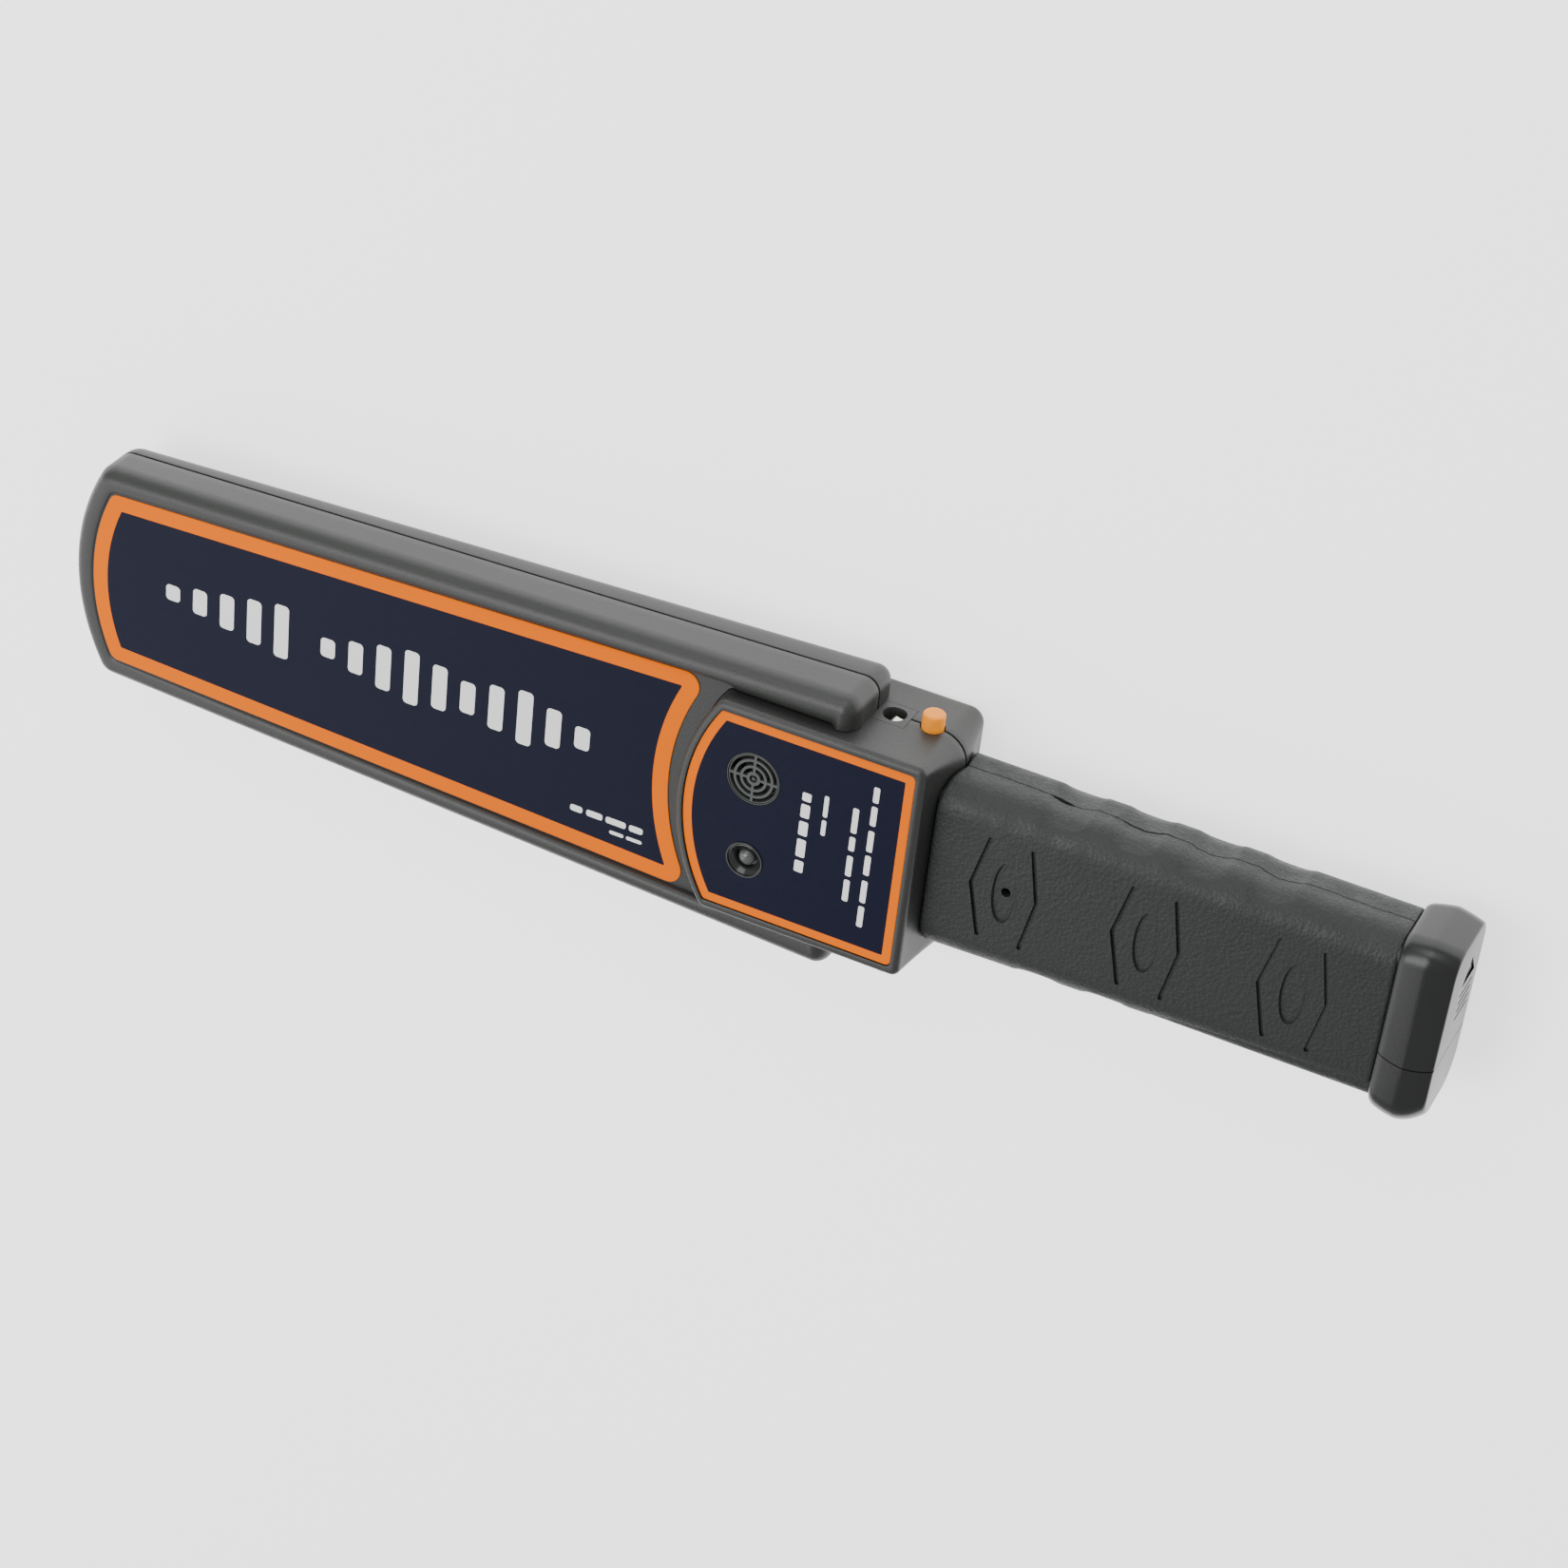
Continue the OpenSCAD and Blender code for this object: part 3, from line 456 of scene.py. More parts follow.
SHELL = moulded("shell_plastic", (42, 44, 42), rough=(0.36, 0.5), grain=1300.0, depth=0.00005,
                spread=0.07, sparkle=0.5)
CAP = moulded("cap_plastic", (22, 23, 23), rough=(0.24, 0.34), grain=1700.0, depth=0.00002,
              spread=0.06)
BLACK = moulded("black_plastic", (26, 27, 27), rough=(0.32, 0.44), depth=0.00003)
GRILLE = moulded("grille_plastic", (66, 69, 67), depth=0.00003)
SOCKET_PLASTIC = moulded("socket_plastic", (48, 50, 49), rough=(0.42, 0.5), depth=0.00003)
BUZZER = moulded("buzzer_plastic", (20, 20, 20), rough=(0.3, 0.45), grain=900.0, depth=0.00003)
BEZEL = moulded("bezel_plastic", (36, 38, 37), rough=(0.16, 0.26), grain=900.0, depth=0.00001)


def rubber_material():
    """Grip rubber: fine pebble grain, dusty mottling and small scuffs that catch the light."""
    n = Nodes("grip_rubber")
    base = srgb(31, 34, 33)
    broad = n.noise(28.0, 5.0, 0.62)
    mottle = n.noise(160.0, 4.0, 0.65)
    pebble = n.cells(950.0)
    specks = n.noise(2300.0, 1.0)
    colours = n.ramp(n.blend(broad, 0.5, mottle, 0.5),
                     [(0.3, tone(base, 0.86)), (0.5, tone(base, 1.0)), (0.72, tone(base, 1.2))])
    roughness = n.span(n.blend(mottle, 0.6, specks, 0.5), 0.35, 0.72, 0.4, 0.66)
    wave = n.bump(n.noise(60.0, 3.0), 0.00018, 0.6)
    grain = n.bump(pebble, 0.00012, 0.9, wave)
    normal = n.bump(mottle, 0.00006, 0.7, grain)
    return n.finish(colours, roughness, normal, Specular_IOR_Level=0.45)


RUBBER = rubber_material()


def print_material(name, rgb, rough=(0.3, 0.4), specular=0.35):
    """Printed label film: even ink with a faint weave of orange peel in its gloss."""
    n = Nodes(name)
    colour = srgb(*rgb)
    peel = n.noise(420.0, 2.0, 0.5)
    broad = n.noise(14.0, 3.0)
    colours = n.ramp(broad, [(0.3, tone(colour, 0.97)), (0.7, tone(colour, 1.03))])
    roughness = n.span(peel, 0.3, 0.7, *rough)
    return n.finish(colours, roughness, n.bump(peel, 0.00001, 0.6), Specular_IOR_Level=specular)


NAVY = print_material("label_navy", (10, 14, 38), specular=0.12)
ORANGE = print_material("label_orange", (242, 114, 0), rough=(0.5, 0.6), specular=0.0)
WHITE = print_material("label_white", (242, 242, 242), rough=(0.42, 0.5), specular=0.3)
BUTTON_ORANGE = moulded("button_plastic", (255, 150, 6), rough=(0.38, 0.48), grain=1400.0,
                        depth=0.00003, spread=0.03, specular=0.3, Subsurface_Weight=0.15,
                        Subsurface_Radius=(0.002, 0.001, 0.0004))


def metal(name, rgb, rough=(0.22, 0.36), brushed=(1.0, 1.0, 1.0)):
    n = Nodes(name)
    colour = srgb(*rgb)
    lines = n.noise(700.0, 3.0, 0.6, n.scaled(brushed))
    stains = n.noise(60.0, 3.0)
    colours = n.ramp(stains, [(0.3, tone(colour, 0.88)), (0.7, tone(colour, 1.06))])
    roughness = n.span(lines, 0.3, 0.7, *rough)
    return n.finish(colours, roughness, n.bump(lines, 0.000012, 0.7), Metallic=1.0)


STEEL = metal("steel", (190, 192, 194))
ZINC = metal("zinc_steel", (150, 152, 156), rough=(0.34, 0.48))
TIN = metal("tinned_contact", (238, 234, 220), rough=(0.2, 0.34), brushed=(1.0, 6.0, 1.0))
BRASS = metal("brass", (212, 172, 96))
COPPER = metal("copper_wire", (190, 104, 52), rough=(0.3, 0.42), brushed=(6.0, 6.0, 1.0))
PLATE = metal("plate_film", (188, 190, 193), rough=(0.3, 0.42), brushed=(1.0, 14.0, 1.0))
FOAM = moulded("foam", (52, 54, 56), rough=(0.85, 0.95), grain=700.0, depth=0.0002)
LAMP_PLASTIC = moulded("lamp_plastic", (96, 98, 98), rough=(0.08, 0.14), grain=300.0,
                       depth=0.000005, spread=0.02, Transmission_Weight=0.35, IOR=1.5)

slot_looks = {
    "shell_plastic": SHELL, "cap_plastic": CAP, "grip_rubber": RUBBER, "label_film": NAVY,
    "plate_film": PLATE, "black_plastic": BLACK, "black_foam": FOAM, "grey_foam": FOAM,
    "lamp_plastic": LAMP_PLASTIC, "button_plastic": BUTTON_ORANGE, "socket_plastic": SOCKET_PLASTIC,
    "steel_wire": STEEL, "contact_metal": TIN, "switch_metal": ZINC, "screw_steel": ZINC,
    "trimmer_brass": BRASS, "motor_can": STEEL, "tungsten": ZINC, "copper_winding": COPPER,
}
# Plastics of the pieces inside: slot, name, colour, roughness and what else differs
for slot, name, rgb, rough, more in (
        ("board_laminate", "board_laminate", (30, 92, 56), (0.3, 0.42), {"grain": 900.0}),
        ("chip_plastic", "chip_plastic", (28, 28, 30), (0.45, 0.55), {}),
        ("capacitor_can", "capacitor_sleeve", (36, 56, 104), (0.25, 0.35), {}),
        ("trimmer_plastic", "trimmer_plastic", (46, 100, 176), (0.3, 0.4), {}),
        ("former_sheet", "fibre_sheet", (214, 208, 190), (0.6, 0.7), {"grain": 600.0}),
        ("battery_can", "battery_can", (168, 128, 58), (0.25, 0.35), {"grain": 400.0, "depth": 0.00002}),
        ("red_insulation", "red_insulation", (172, 34, 34), (0.35, 0.45), {}),
        ("black_insulation", "black_insulation", (26, 26, 26), (0.35, 0.45), {}),
        ("grey_insulation", "grey_insulation", (120, 120, 120), (0.35, 0.45), {})):
    slot_looks[slot] = moulded(name, rgb, rough=rough, **more)
for part in frame["record"]["subparts"]:
    node = frame["nodes"][part["node"]]
    node.data.materials.clear()
    node.data.materials.append(slot_looks[part["material_slot"]])


def place(obj, body, replaces=(), angle=30):
    shade(obj, angle)
    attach(obj, body)
    if replaces:
        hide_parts(*replaces)
    return obj


# -------- paddle
NOSE_X = 39.2
TIP_R = 64.0
TIP_HALF, FULL_HALF = 34.0, 42.6
TIP_TOP, NOSE_TOP = 30.4, 32.7
TIP_BACK, NOSE_BACK = 11.0, 7.0
EDGE_R = 5.0
GAP = 0.34
GROOVE_IN = 1.2
WALL = 2.3
TIP_DEEP = 8.3
PANEL_X, PANEL_R, PANEL_TIP_HALF = -190.9, 60.3, 27.3
PANEL_SIDE = ((-10.5, 34.2), (1.6, 34.6), (4.6, 33.7), (33.0, 33.7))
# Beside the box the rim doesn't roll down to the panel but stays near its own height
FLANK_X, FLANK_RISE, FLANK_DROP = -1.0, 8.0, 1.6
COUNTS = (150, 60, 150, 90)
FILLETS = 14


def mixed(a, b, f):
    return a + (b - a) * f


def ease(f):
    """A smooth step from 0 to 1."""
    f = np.clip(f, 0, 1)
    return f * f * (3 - 2 * f)


def paddle_half(x):
    x0, x1 = TIP_X + 11.5, NOSE_X - 9.0
    return mixed(TIP_HALF, FULL_HALF, (x - x0) / (x1 - x0))


def paddle_plan():
    tip = bow(TIP_X + TIP_R, TIP_R, paddle_half(TIP_X + TIP_DEEP))
    nose_half = min(paddle_half(NOSE_X), PADDLE_HALF)
    return bowed_plan(tip, NOSE_X, nose_half, (6.0, 4.6), COUNTS, FILLETS)


def panel_plan():
    """Edge of the sunk panel, with the same count of points as the paddle's plan."""
    tip = bow(PANEL_X + math.sqrt(PANEL_R ** 2 - PANEL_TIP_HALF ** 2), PANEL_R, PANEL_TIP_HALF)
    low = [(x, -half) for x, half in PANEL_SIDE]
    high = [(x, half) for x, half in PANEL_SIDE[::-1]]
    return outline([[tip[-1]] + low, [low[-1], high[0]], high + [tip[0]], tip],
                   [3.4, 1.5, 1.5, 3.4], COUNTS, FILLETS)


def slope(x, a, b):
    """A value that runs evenly from a at the tip to b at the nose."""
    return mixed(a, b, (x - TIP_X) / (NOSE_X - TIP_X))


plan = paddle_plan()
panel = panel_plan()
gap_to_panel = np.linalg.norm(plan - panel, axis=1)
edge_w = smooth_ring(np.minimum(4.5, 0.72 * gap_to_panel), 10)
top_z = slope(plan[:, 0], TIP_TOP, NOSE_TOP)
back_z = slope(plan[:, 0], TIP_BACK, NOSE_BACK)


SEAM_STEPS = ((GROOVE_IN, 0.0), (GROOVE_IN, GAP), (0.25, GAP), (0.06, GAP + 0.08), (0.0, GAP + 0.3))


def seam_rings(p, side):
    """The groove along the seam: side is +1 for the front half and -1 for the rear half."""
    return [at_z(inwards(p, inset), SEAM_Z + side * h) for inset, h in SEAM_STEPS]


def paddle_front():
    rings = seam_rings(plan, 1) + [at_z(inwards(plan, 0.1), SEAM_Z + 3)]
    for inward, rise in quarter(0, 13):
        inset = 0.15 + (edge_w - 0.15) * inward
        rings.append(at_z(inwards(plan, inset), top_z - EDGE_R + EDGE_R * rise))
    crest = inwards(plan, edge_w)
    beside_box = ease((panel[:, 0] - FLANK_X) / FLANK_RISE)
    foot_z = mixed(PANEL_Z, top_z - FLANK_DROP, beside_box)
    for f in np.linspace(0.12, 1.0, 10):
        drop = 1 - math.sqrt(max(0.0, 1 - f ** 2.2))
        p = crest + (panel - crest) * f
        rings.append(at_z(p, mixed(top_z, foot_z, drop)))
    rings.append(at_z(inwards(panel, 0.5), PANEL_Z))
    return loft("paddle_front_half", rings, [SHELL])


def paddle_rear():
    rings = seam_rings(plan, -1)
    r = np.minimum(EDGE_R, SEAM_Z - back_z - 1)
    for inward, rise in quarter(0, 11):
        rings.append(at_z(inwards(plan, 0.1 + 4.4 * inward), back_z + r - r * rise))
    flat = inwards(plan, 5.4)
    rings.append(at_z(flat, slope(flat[:, 0], TIP_BACK, NOSE_BACK)))
    return loft("paddle_rear_half", rings, [SHELL])


def paddle_hollow(front):
    """The space inside one half of the paddle."""
    deep, wide = inwards(plan, 7.5), inwards(plan, WALL)
    if front:
        rings = [at_z(wide, SEAM_Z - 0.05), at_z(wide, PANEL_Z - 8), at_z(deep, PANEL_Z - WALL)]
    else:
        floor_z = slope(deep[:, 0], TIP_BACK, NOSE_BACK) + WALL
        rings = [at_z(wide, SEAM_Z + 0.05), at_z(wide, floor_z + 2), at_z(deep, floor_z)]
    return loft("paddle_hollow", rings)


# -------- control box
BOX_COUNTS = (70, 50, 70, 90)
BOX_ARC_R = 58.0


def box_plan(arc_x, half, end_x, corner_r, end_r):
    left = bow(arc_x + BOX_ARC_R, BOX_ARC_R, half)
    return bowed_plan(left, end_x, half, (corner_r, end_r), BOX_COUNTS, 12)


FRONT_END_X, SEAM_END_X, REAR_END_X = 61.9, 65.6, 63.4
front_plan = box_plan(-7.8, 32.9, FRONT_END_X, 3.0, 2.6)
seam_plan = box_plan(-9.0, 34.2, SEAM_END_X, 3.6, 8.0)
rear_plan = box_plan(-8.2, 34.0, REAR_END_X, 3.6, 4.5)


BOX_EDGE = 1.7
BACK_EDGE = 3.2
BOX_LOW_Z, BOX_HIGH_Z = SEAM_Z + GAP + 0.3, BOX_TOP - BOX_EDGE


def bulge(f):
    """How far the front half's side wall has come in, from 0 at the seam to 1 at the label's edge."""
    return np.sin(f * math.pi / 2) ** 0.9 * 0.35 + f * 0.65


def box_side(f):
    """Plan of the front half's side wall, from the seam at f 0 to the edge round the label at f 1."""
    return mixed(seam_plan, front_plan, bulge(f))


def box_height(z):
    """How far up the front half's side wall a height is, from 0 at the seam to 1 at the label's edge."""
    return (z - BOX_LOW_Z) / (BOX_HIGH_Z - BOX_LOW_Z)


def box_front():
    rings = seam_rings(seam_plan, 1)
    for f in np.linspace(0.12, 1.0, 9):
        rings.append(at_z(box_side(f), mixed(BOX_LOW_Z, BOX_HIGH_Z, f)))
    for inward, rise in quarter(10, 8):
        rings.append(at_z(inwards(front_plan, BOX_EDGE * inward), BOX_HIGH_Z + BOX_EDGE * rise))
    crest = inwards(front_plan, BOX_EDGE)
    inner = match(crest, label_outline_small(0.22))
    rings.append(at_z(mixed(crest, inner, 0.75), BOX_TOP))
    rings.append(at_z(inner, BOX_TOP - 0.12))
    rings.append(at_z(inner, LABEL_Z - 0.02))
    return loft("box_front_half", rings, [SHELL])


def box_rear():
    rings = seam_rings(seam_plan, -1)
    high_z = SEAM_Z - GAP - 0.3
    for f in np.linspace(0.12, 1.0, 7):
        rings.append(at_z(mixed(seam_plan, rear_plan, f), mixed(high_z, BACK_EDGE, f)))
    for inward, rise in quarter(9, 9):
        rings.append(at_z(inwards(rear_plan, BACK_EDGE * inward), BACK_EDGE * (1 - rise)))
    rings.append(at_z(inwards(rear_plan, BACK_EDGE + 0.8), 0.0))
    return loft("box_rear_half", rings, [SHELL])


def box_hollow(front):
    """The space inside one half of the control box."""
    n = normals_of(seam_plan)
    wide, deep = front_plan - n * WALL, rear_plan - n * (BACK_EDGE + 2)
    if front:
        return loft("box_hollow", [at_z(wide, SEAM_Z - 0.05), at_z(wide, gasket_high[2])])
    return loft("box_hollow", [at_z(wide, SEAM_Z + 0.05), at_z(rear_plan - n * WALL, BACK_EDGE + 2),
                               at_z(deep, WALL)])


def crevice():
    """A narrow gap left in the rim round the box. It runs out along the curved left side."""
    n = normals_of(front_plan)
    x = front_plan[:, 0]
    on_arc = np.clip((x - (x.min() + 1.2)) / 5.0, 0, 1)
    grow = smooth_ring(-0.5 + 0.78 * on_arc, 6)[:, None]
    rings = []
    for z in (PANEL_Z - 1.8, PANEL_Z + 0.2, PANEL_Z + 1.6, NOSE_TOP + 2):
        rings.append(at_z(box_side(min(1.0, box_height(z))) + n * grow, z))
    return loft("crevice", rings)


def match(points, closed):
    """The nearest place on a closed outline for each point."""
    a = closed
    d = np.roll(closed, -1, axis=0) - a
    length = np.maximum((d ** 2).sum(1), 1e-12)
    out = []
    for p in points:
        t = np.clip(((p - a) * d).sum(1) / length, 0, 1)
        q = a + d * t[:, None]
        out.append(q[((q - p) ** 2).sum(1).argmin()])
    return np.array(out)


# -------- labels
LABEL_COUNTS, SMALL_COUNTS = (80, 60, 80, 60), (60, 50, 60, 70)
LABEL_R, LABEL_X = 60.0, -197.0
LABEL_END_R, LABEL_END_X = 66.0, -13.0
SMALL_R, SMALL_X = 56.6, -5.2
SMALL_END_X, SMALL_HALF = 59.1, 30.0


def label_outline_big(inset, corner):
    """Plan of the large label, moved inwards by inset."""
    x1, x2 = -188.6, -4.3
    half1, half2 = 26.9, 33.9
    down = inset / math.cos(math.atan2(half2 - half1, x2 - x1))

    def half(x):
        return mixed(half1, half2, (x - x1) / (x2 - x1)) - down

    def side(centre, r, x):
        """The curve at one end, cut off where it meets the long edges."""
        for _ in range(20):
            x = centre - math.sqrt(r ** 2 - half(x) ** 2)
        return bow(centre, r, half(x))

    left = side(LABEL_X + LABEL_R, LABEL_R - inset, x1)
    right_end = side(LABEL_END_X + LABEL_END_R, LABEL_END_R + inset, x2)[::-1]
    return outline([[left[-1], right_end[0]], right_end, [right_end[-1], left[0]], left],
                   [corner[0], corner[1], corner[1], corner[0]], LABEL_COUNTS)


def label_outline_small(grow, corner=(1.2, 1.6)):
    """Plan of the small label, moved outwards by grow."""
    half = SMALL_HALF + grow
    left = bow(SMALL_X + SMALL_R, SMALL_R + grow, half)
    return bowed_plan(left, SMALL_END_X + grow, half, corner, SMALL_COUNTS)


def label_piece(name, outer, inner, z0, z1):
    """Label film: a rounded rim, an orange border and a navy field."""
    n = len(outer)
    rings = [at_z(outer, z0), at_z(outer, z1 - 0.08), at_z(inwards(outer, 0.05), z1),
             at_z(inner, z1)]
    border = band(0, 1, n) + band(1, 2, n) + band(2, 3, n)
    faces = border + [tuple(range(3 * n, 4 * n)), tuple(range(n))[::-1]]
    mats = [1] * len(border) + [0, 0]
    return make_object(name, np.concatenate(rings), faces, [NAVY, ORANGE], mats)


big_label = label_piece("main_label_film", label_outline_big(0, (3.2, 4.0)),
                        label_outline_big(4.7, (0.4, 0.4)), PANEL_Z - 0.02, label_high[2])
place(big_label, "housing", ["main_label"])

small_label = label_piece("control_label_film", label_outline_small(0),
                          label_outline_small(-2.6, (0.3, 0.3)), LABEL_Z - 0.03, small_high[2])
boolean(small_label, [lathe("hole", [(0, -3), (r, -3), (r, 3), (0, 3)], (p[0], p[1], LABEL_Z))
                      for p, r in ((SPEAKER, GRILLE_R + 0.15), (LAMP, BEZEL_R + 0.1))])
place(small_label, "housing", ["control_label"])


INK_SUNK, INK_HIGH = 0.01, 0.03


def print_shapes(name, shapes, z):
    """Raised ink: flat shapes a hair above the film, with thin edges."""
    verts, faces = [], []
    for shape in shapes:
        k, n = len(verts), len(shape)
        verts += [(x, y, z - INK_SUNK) for x, y in shape] + [(x, y, z + INK_HIGH) for x, y in shape]
        faces.append(tuple(range(k + n, k + 2 * n)))
        faces.append(tuple(range(k, k + n))[::-1])
        faces += [(k + i, k + (i + 1) % n, k + n + (i + 1) % n, k + n + i) for i in range(n)]
    return make_object(name, verts, faces, [WHITE])


# A plain row of level bars, in two groups, stands where the large print is
BAR_WIDTH, BAR_PITCH, BAR_Y = 4.6, 8.9, 1.8
GROUP_GAP = 6.2
bars = []
x = -172.6
for heights in ((5.0, 8.0, 11.0, 14.0, 17.0),
                (6.0, 10.0, 14.0, 17.0, 14.0, 10.0, 14.0, 17.0, 12.0, 7.0)):
    for h in heights:
        bars.append(rounded_bar(x, BAR_Y - h / 2, x + BAR_WIDTH, BAR_Y + h / 2, 1.2))
        x += BAR_PITCH
    x += GROUP_GAP
# Short plain dashes at the label's lower corner, in two lines
for x0, x1 in ((-41.4, -37.6), (-36.4, -31.4), (-30.4, -24.2), (-23.2, -19.0)):
    bars.append(rounded_bar(x0, -21.9, x1, -19.9, 0.7))
for x0, x1 in ((-29.0, -24.6), (-23.8, -19.0)):
    bars.append(rounded_bar(x0, -25.0, x1, -23.9, 0.5))
place(print_shapes("main_label_bars", bars, label_high[2]), "housing")

# Lines of dashes on the small label: where each line starts, its height and its dashes
DASH_LINES = (
    (28.6, 2.6, ((-11.0, -7.4), (-6.2, -0.6), (0.6, 5.0), (6.2, 10.4), (11.4, 14.0))),
    (34.9, 1.3, ((2.8, 7.6), (8.6, 15.2))),
    (43.2, 1.7, ((-14.8, -8.0), (-6.8, -0.4), (1.2, 5.6), (6.8, 14.6))),
    (48.2, 1.7, ((-21.2, -14.6), (-13.4, -6.4), (-4.6, 1.6), (2.8, 9.4), (11.0, 17.0), (18.2, 23.0))),
)
dashes = [rounded_bar(x0, a, x0 + w, b, 0.5) for x0, w, line in DASH_LINES for a, b in line]
place(print_shapes("control_label_dashes", dashes, small_high[2]), "housing")

# -------- shells put together
CORE_HALF, CORE_T, CORE_R = 23.6, 21.4, 4.0
CORE_X0 = 58.0
CORE_IN_HALF, CORE_IN_T = 21.8, 18.4
SEAT_Z = 13.5  # where the case screws' heads sit
FRONT_POST_R, FRONT_PILOT_R, PILOT_DEEP = 3.2, 1.45, 8.2
REAR_POST_R, SEAT_R, SCREW_WAY_R = 4.3, 2.9, 1.6
BOARD_POST_R, BOARD_PILOT_R = 2.6, 1.15
BOARD_POST_Z, BOARD_Z = 1.5, 15
SKIN = 1.8
BUTTON_HOLE_R = 3.4
CASE_SCREWS = ((TIP_X + 9.5, 0), (-105, 0), (-18, 31), (-18, -31), (55, 13), (55, -13))
BOARD_SCREWS = ((9, 23), (9, -22), (34, 23), (48, -22))


def at_x(p, x):
    x = np.broadcast_to(np.asarray(x, float), (len(p),))
    return np.concatenate([x[:, None], p], 1)


def core_half(front):
    """Half of the tube that the grip sleeve is pulled over."""
    p = rounded_bar(-CORE_HALF, GRIP_Z - CORE_T / 2, CORE_HALF, GRIP_Z + CORE_T / 2, CORE_R, 10)
    p = p[p[:, 1] > SEAM_Z if front else p[:, 1] < SEAM_Z]
    if not front:
        p = p[np.argsort(-np.arctan2(p[:, 1] - SEAM_Z, p[:, 0]))]
    ends = [(math.copysign(CORE_HALF, end[0]), SEAM_Z) for end in (p[0], p[-1])]
    p = np.concatenate([ends[:1], p, ends[1:]])
    return loft("core_half", [at_x(p, CORE_X0), at_x(p, GRIP_X1)], [SHELL])


def core_hollow():
    p = rounded_bar(-CORE_IN_HALF, GRIP_Z - CORE_IN_T / 2, CORE_IN_HALF, GRIP_Z + CORE_IN_T / 2, 1.5, 4)
    return loft("core_hollow", [at_x(p, CORE_X0 - 4), at_x(p, GRIP_X1 + 1)])


def side_holes():
    """The button's hole and the socket's window, both on the seam."""
    return [rod("button_hole", (BUTTON[0], 0, SEAM_Z), BUTTON_HOLE_R, 28.3, 40, "Y"),
            block("socket_window", (socket_low[0] - 0.12, 26.3, socket_low[2] - 0.12),
                  (socket_high[0] + 0.12, 40, socket_high[2] + 0.12))]


front = boolean(paddle_front(), [crevice()])
boolean(front, [box_front(), core_half(True)], "UNION")
boolean(front, [paddle_hollow(True), box_hollow(True), core_hollow()])
front_posts = [rod("post", (x, y, 0), FRONT_POST_R, SEAM_Z, (BOX_TOP if x > 0 else PANEL_Z) - SKIN,
                   n=32) for x, y in CASE_SCREWS]
boolean(front, front_posts, "UNION")
boolean(front, rods("pilot", CASE_SCREWS, FRONT_PILOT_R, SEAM_Z - 1, SEAM_Z + PILOT_DEEP, 32))
boolean(front, side_holes() + [
    rod("grille_hole", foot(SPEAKER), GRILLE_R + 0.12, 30, 40, n=96),
    rod("lamp_hole", foot(LAMP), BEZEL_R - 0.45, 30, 40, n=96),
    rod("trimmer_hole", foot(TRIMMER), 1.35, GRIP_Z + 5, 40, n=40),
    block("switch_slot", KNOB * (1, 0, 1) - (4.4, 40, 1.7), KNOB * (1, 0, 1) + (4.4, -29, 1.7)),
])
front.name = "front_shell_skin"
place(front, "housing", ["front_shell"])

rear = boolean(paddle_rear(), [box_rear(), core_half(False)], "UNION")
boolean(rear, [paddle_hollow(False), box_hollow(False), core_hollow()])
boolean(rear, [rod("post", (x, y, 0), REAR_POST_R, 1 if x > 0 else 1 + slope(x, TIP_BACK, NOSE_BACK),
                   SEAM_Z, n=40) for x, y in CASE_SCREWS], "UNION")
boolean(rear, rods("board_post", BOARD_SCREWS, BOARD_POST_R, BOARD_POST_Z, BOARD_Z, 32), "UNION")
boolean(rear, rods("screw_seat", CASE_SCREWS, SEAT_R, -1, SEAT_Z, 48))
boolean(rear, rods("screw_way", CASE_SCREWS, SCREW_WAY_R, SEAT_Z - 1, SEAM_Z + 1, 32))
boolean(rear, rods("board_pilot", BOARD_SCREWS, BOARD_PILOT_R, 8, BOARD_Z + 1, 24))
boolean(rear, side_holes() + [
    prism("plate_recess", rounded_bar(plate_low[0] - 0.3, plate_low[1] - 0.3, plate_high[0] + 0.3,
                                      plate_high[1] + 0.3, 1.5), -1, plate_high[2])])
rear.name = "rear_shell_skin"
place(rear, "housing", ["rear_shell"])

# -------- grip sleeve
GRIP_TIP_HALF = 25.0
GRIP_LEAN = 0.9
GRIP_TOP_END = 29.0
GRIP_CORNER = 8.5
CROWN = 0.3
SCALLOP_X = [96.5 + 19.0 * i for i in range(4)]
SCALLOP_HALF, SCALLOP_DEEP = 6.2, 1.2
START_GAP, START_FADE = 0.3, 9.0
MOTIF_X = (TRIMMER[0] - 0.3, 124.8, 164.9)
MOTIF_LINES = ([(-5.7, 15.0), (-9.3, 0.0), (-5.7, -15.0)], [(6.2, 15.0), (9.2, 0.0), (6.3, -15.0)])
LINE_WIDTH = 1.2
OVAL_LONG, OVAL_HIGH = 3.0, 9.0


def along(x):
    return (x - GRIP_X0) / (GRIP_X1 - GRIP_X0)


def grip_half(x):
    return mixed(GRIP_HALF, GRIP_TIP_HALF, along(x))


def grip_top(x):
    return mixed(grip_high[2], GRIP_TOP_END, along(x))


def scallop(x):
    """Depth of the finger dips along the sides, with softened ends."""
    total = 0.0
    for dx in np.linspace(-0.6, 0.6, 7):
        for c in SCALLOP_X:
            u = (x + dx - c) / SCALLOP_HALF
            total += max(0.0, 1 - u * u) ** 0.85
    return SCALLOP_DEEP * total / 7


def box_end(z):
    """Where the control box's handle end stands at height z."""
    f = np.clip(box_height(z), 0, 1)
    g = np.clip((SEAM_Z - z) / (SEAM_Z - BACK_EDGE), 0, 1)
    return mixed(SEAM_END_X, FRONT_END_X, bulge(f)) + (REAR_END_X - SEAM_END_X) * g


def dip_reach(z, low, high):
    """How strongly a dip shows at height z: fully on the side, fading out towards the corners."""
    return ease((high - 0.8 - z) / 3.7) * ease((z - low - 0.8) / 3.7)


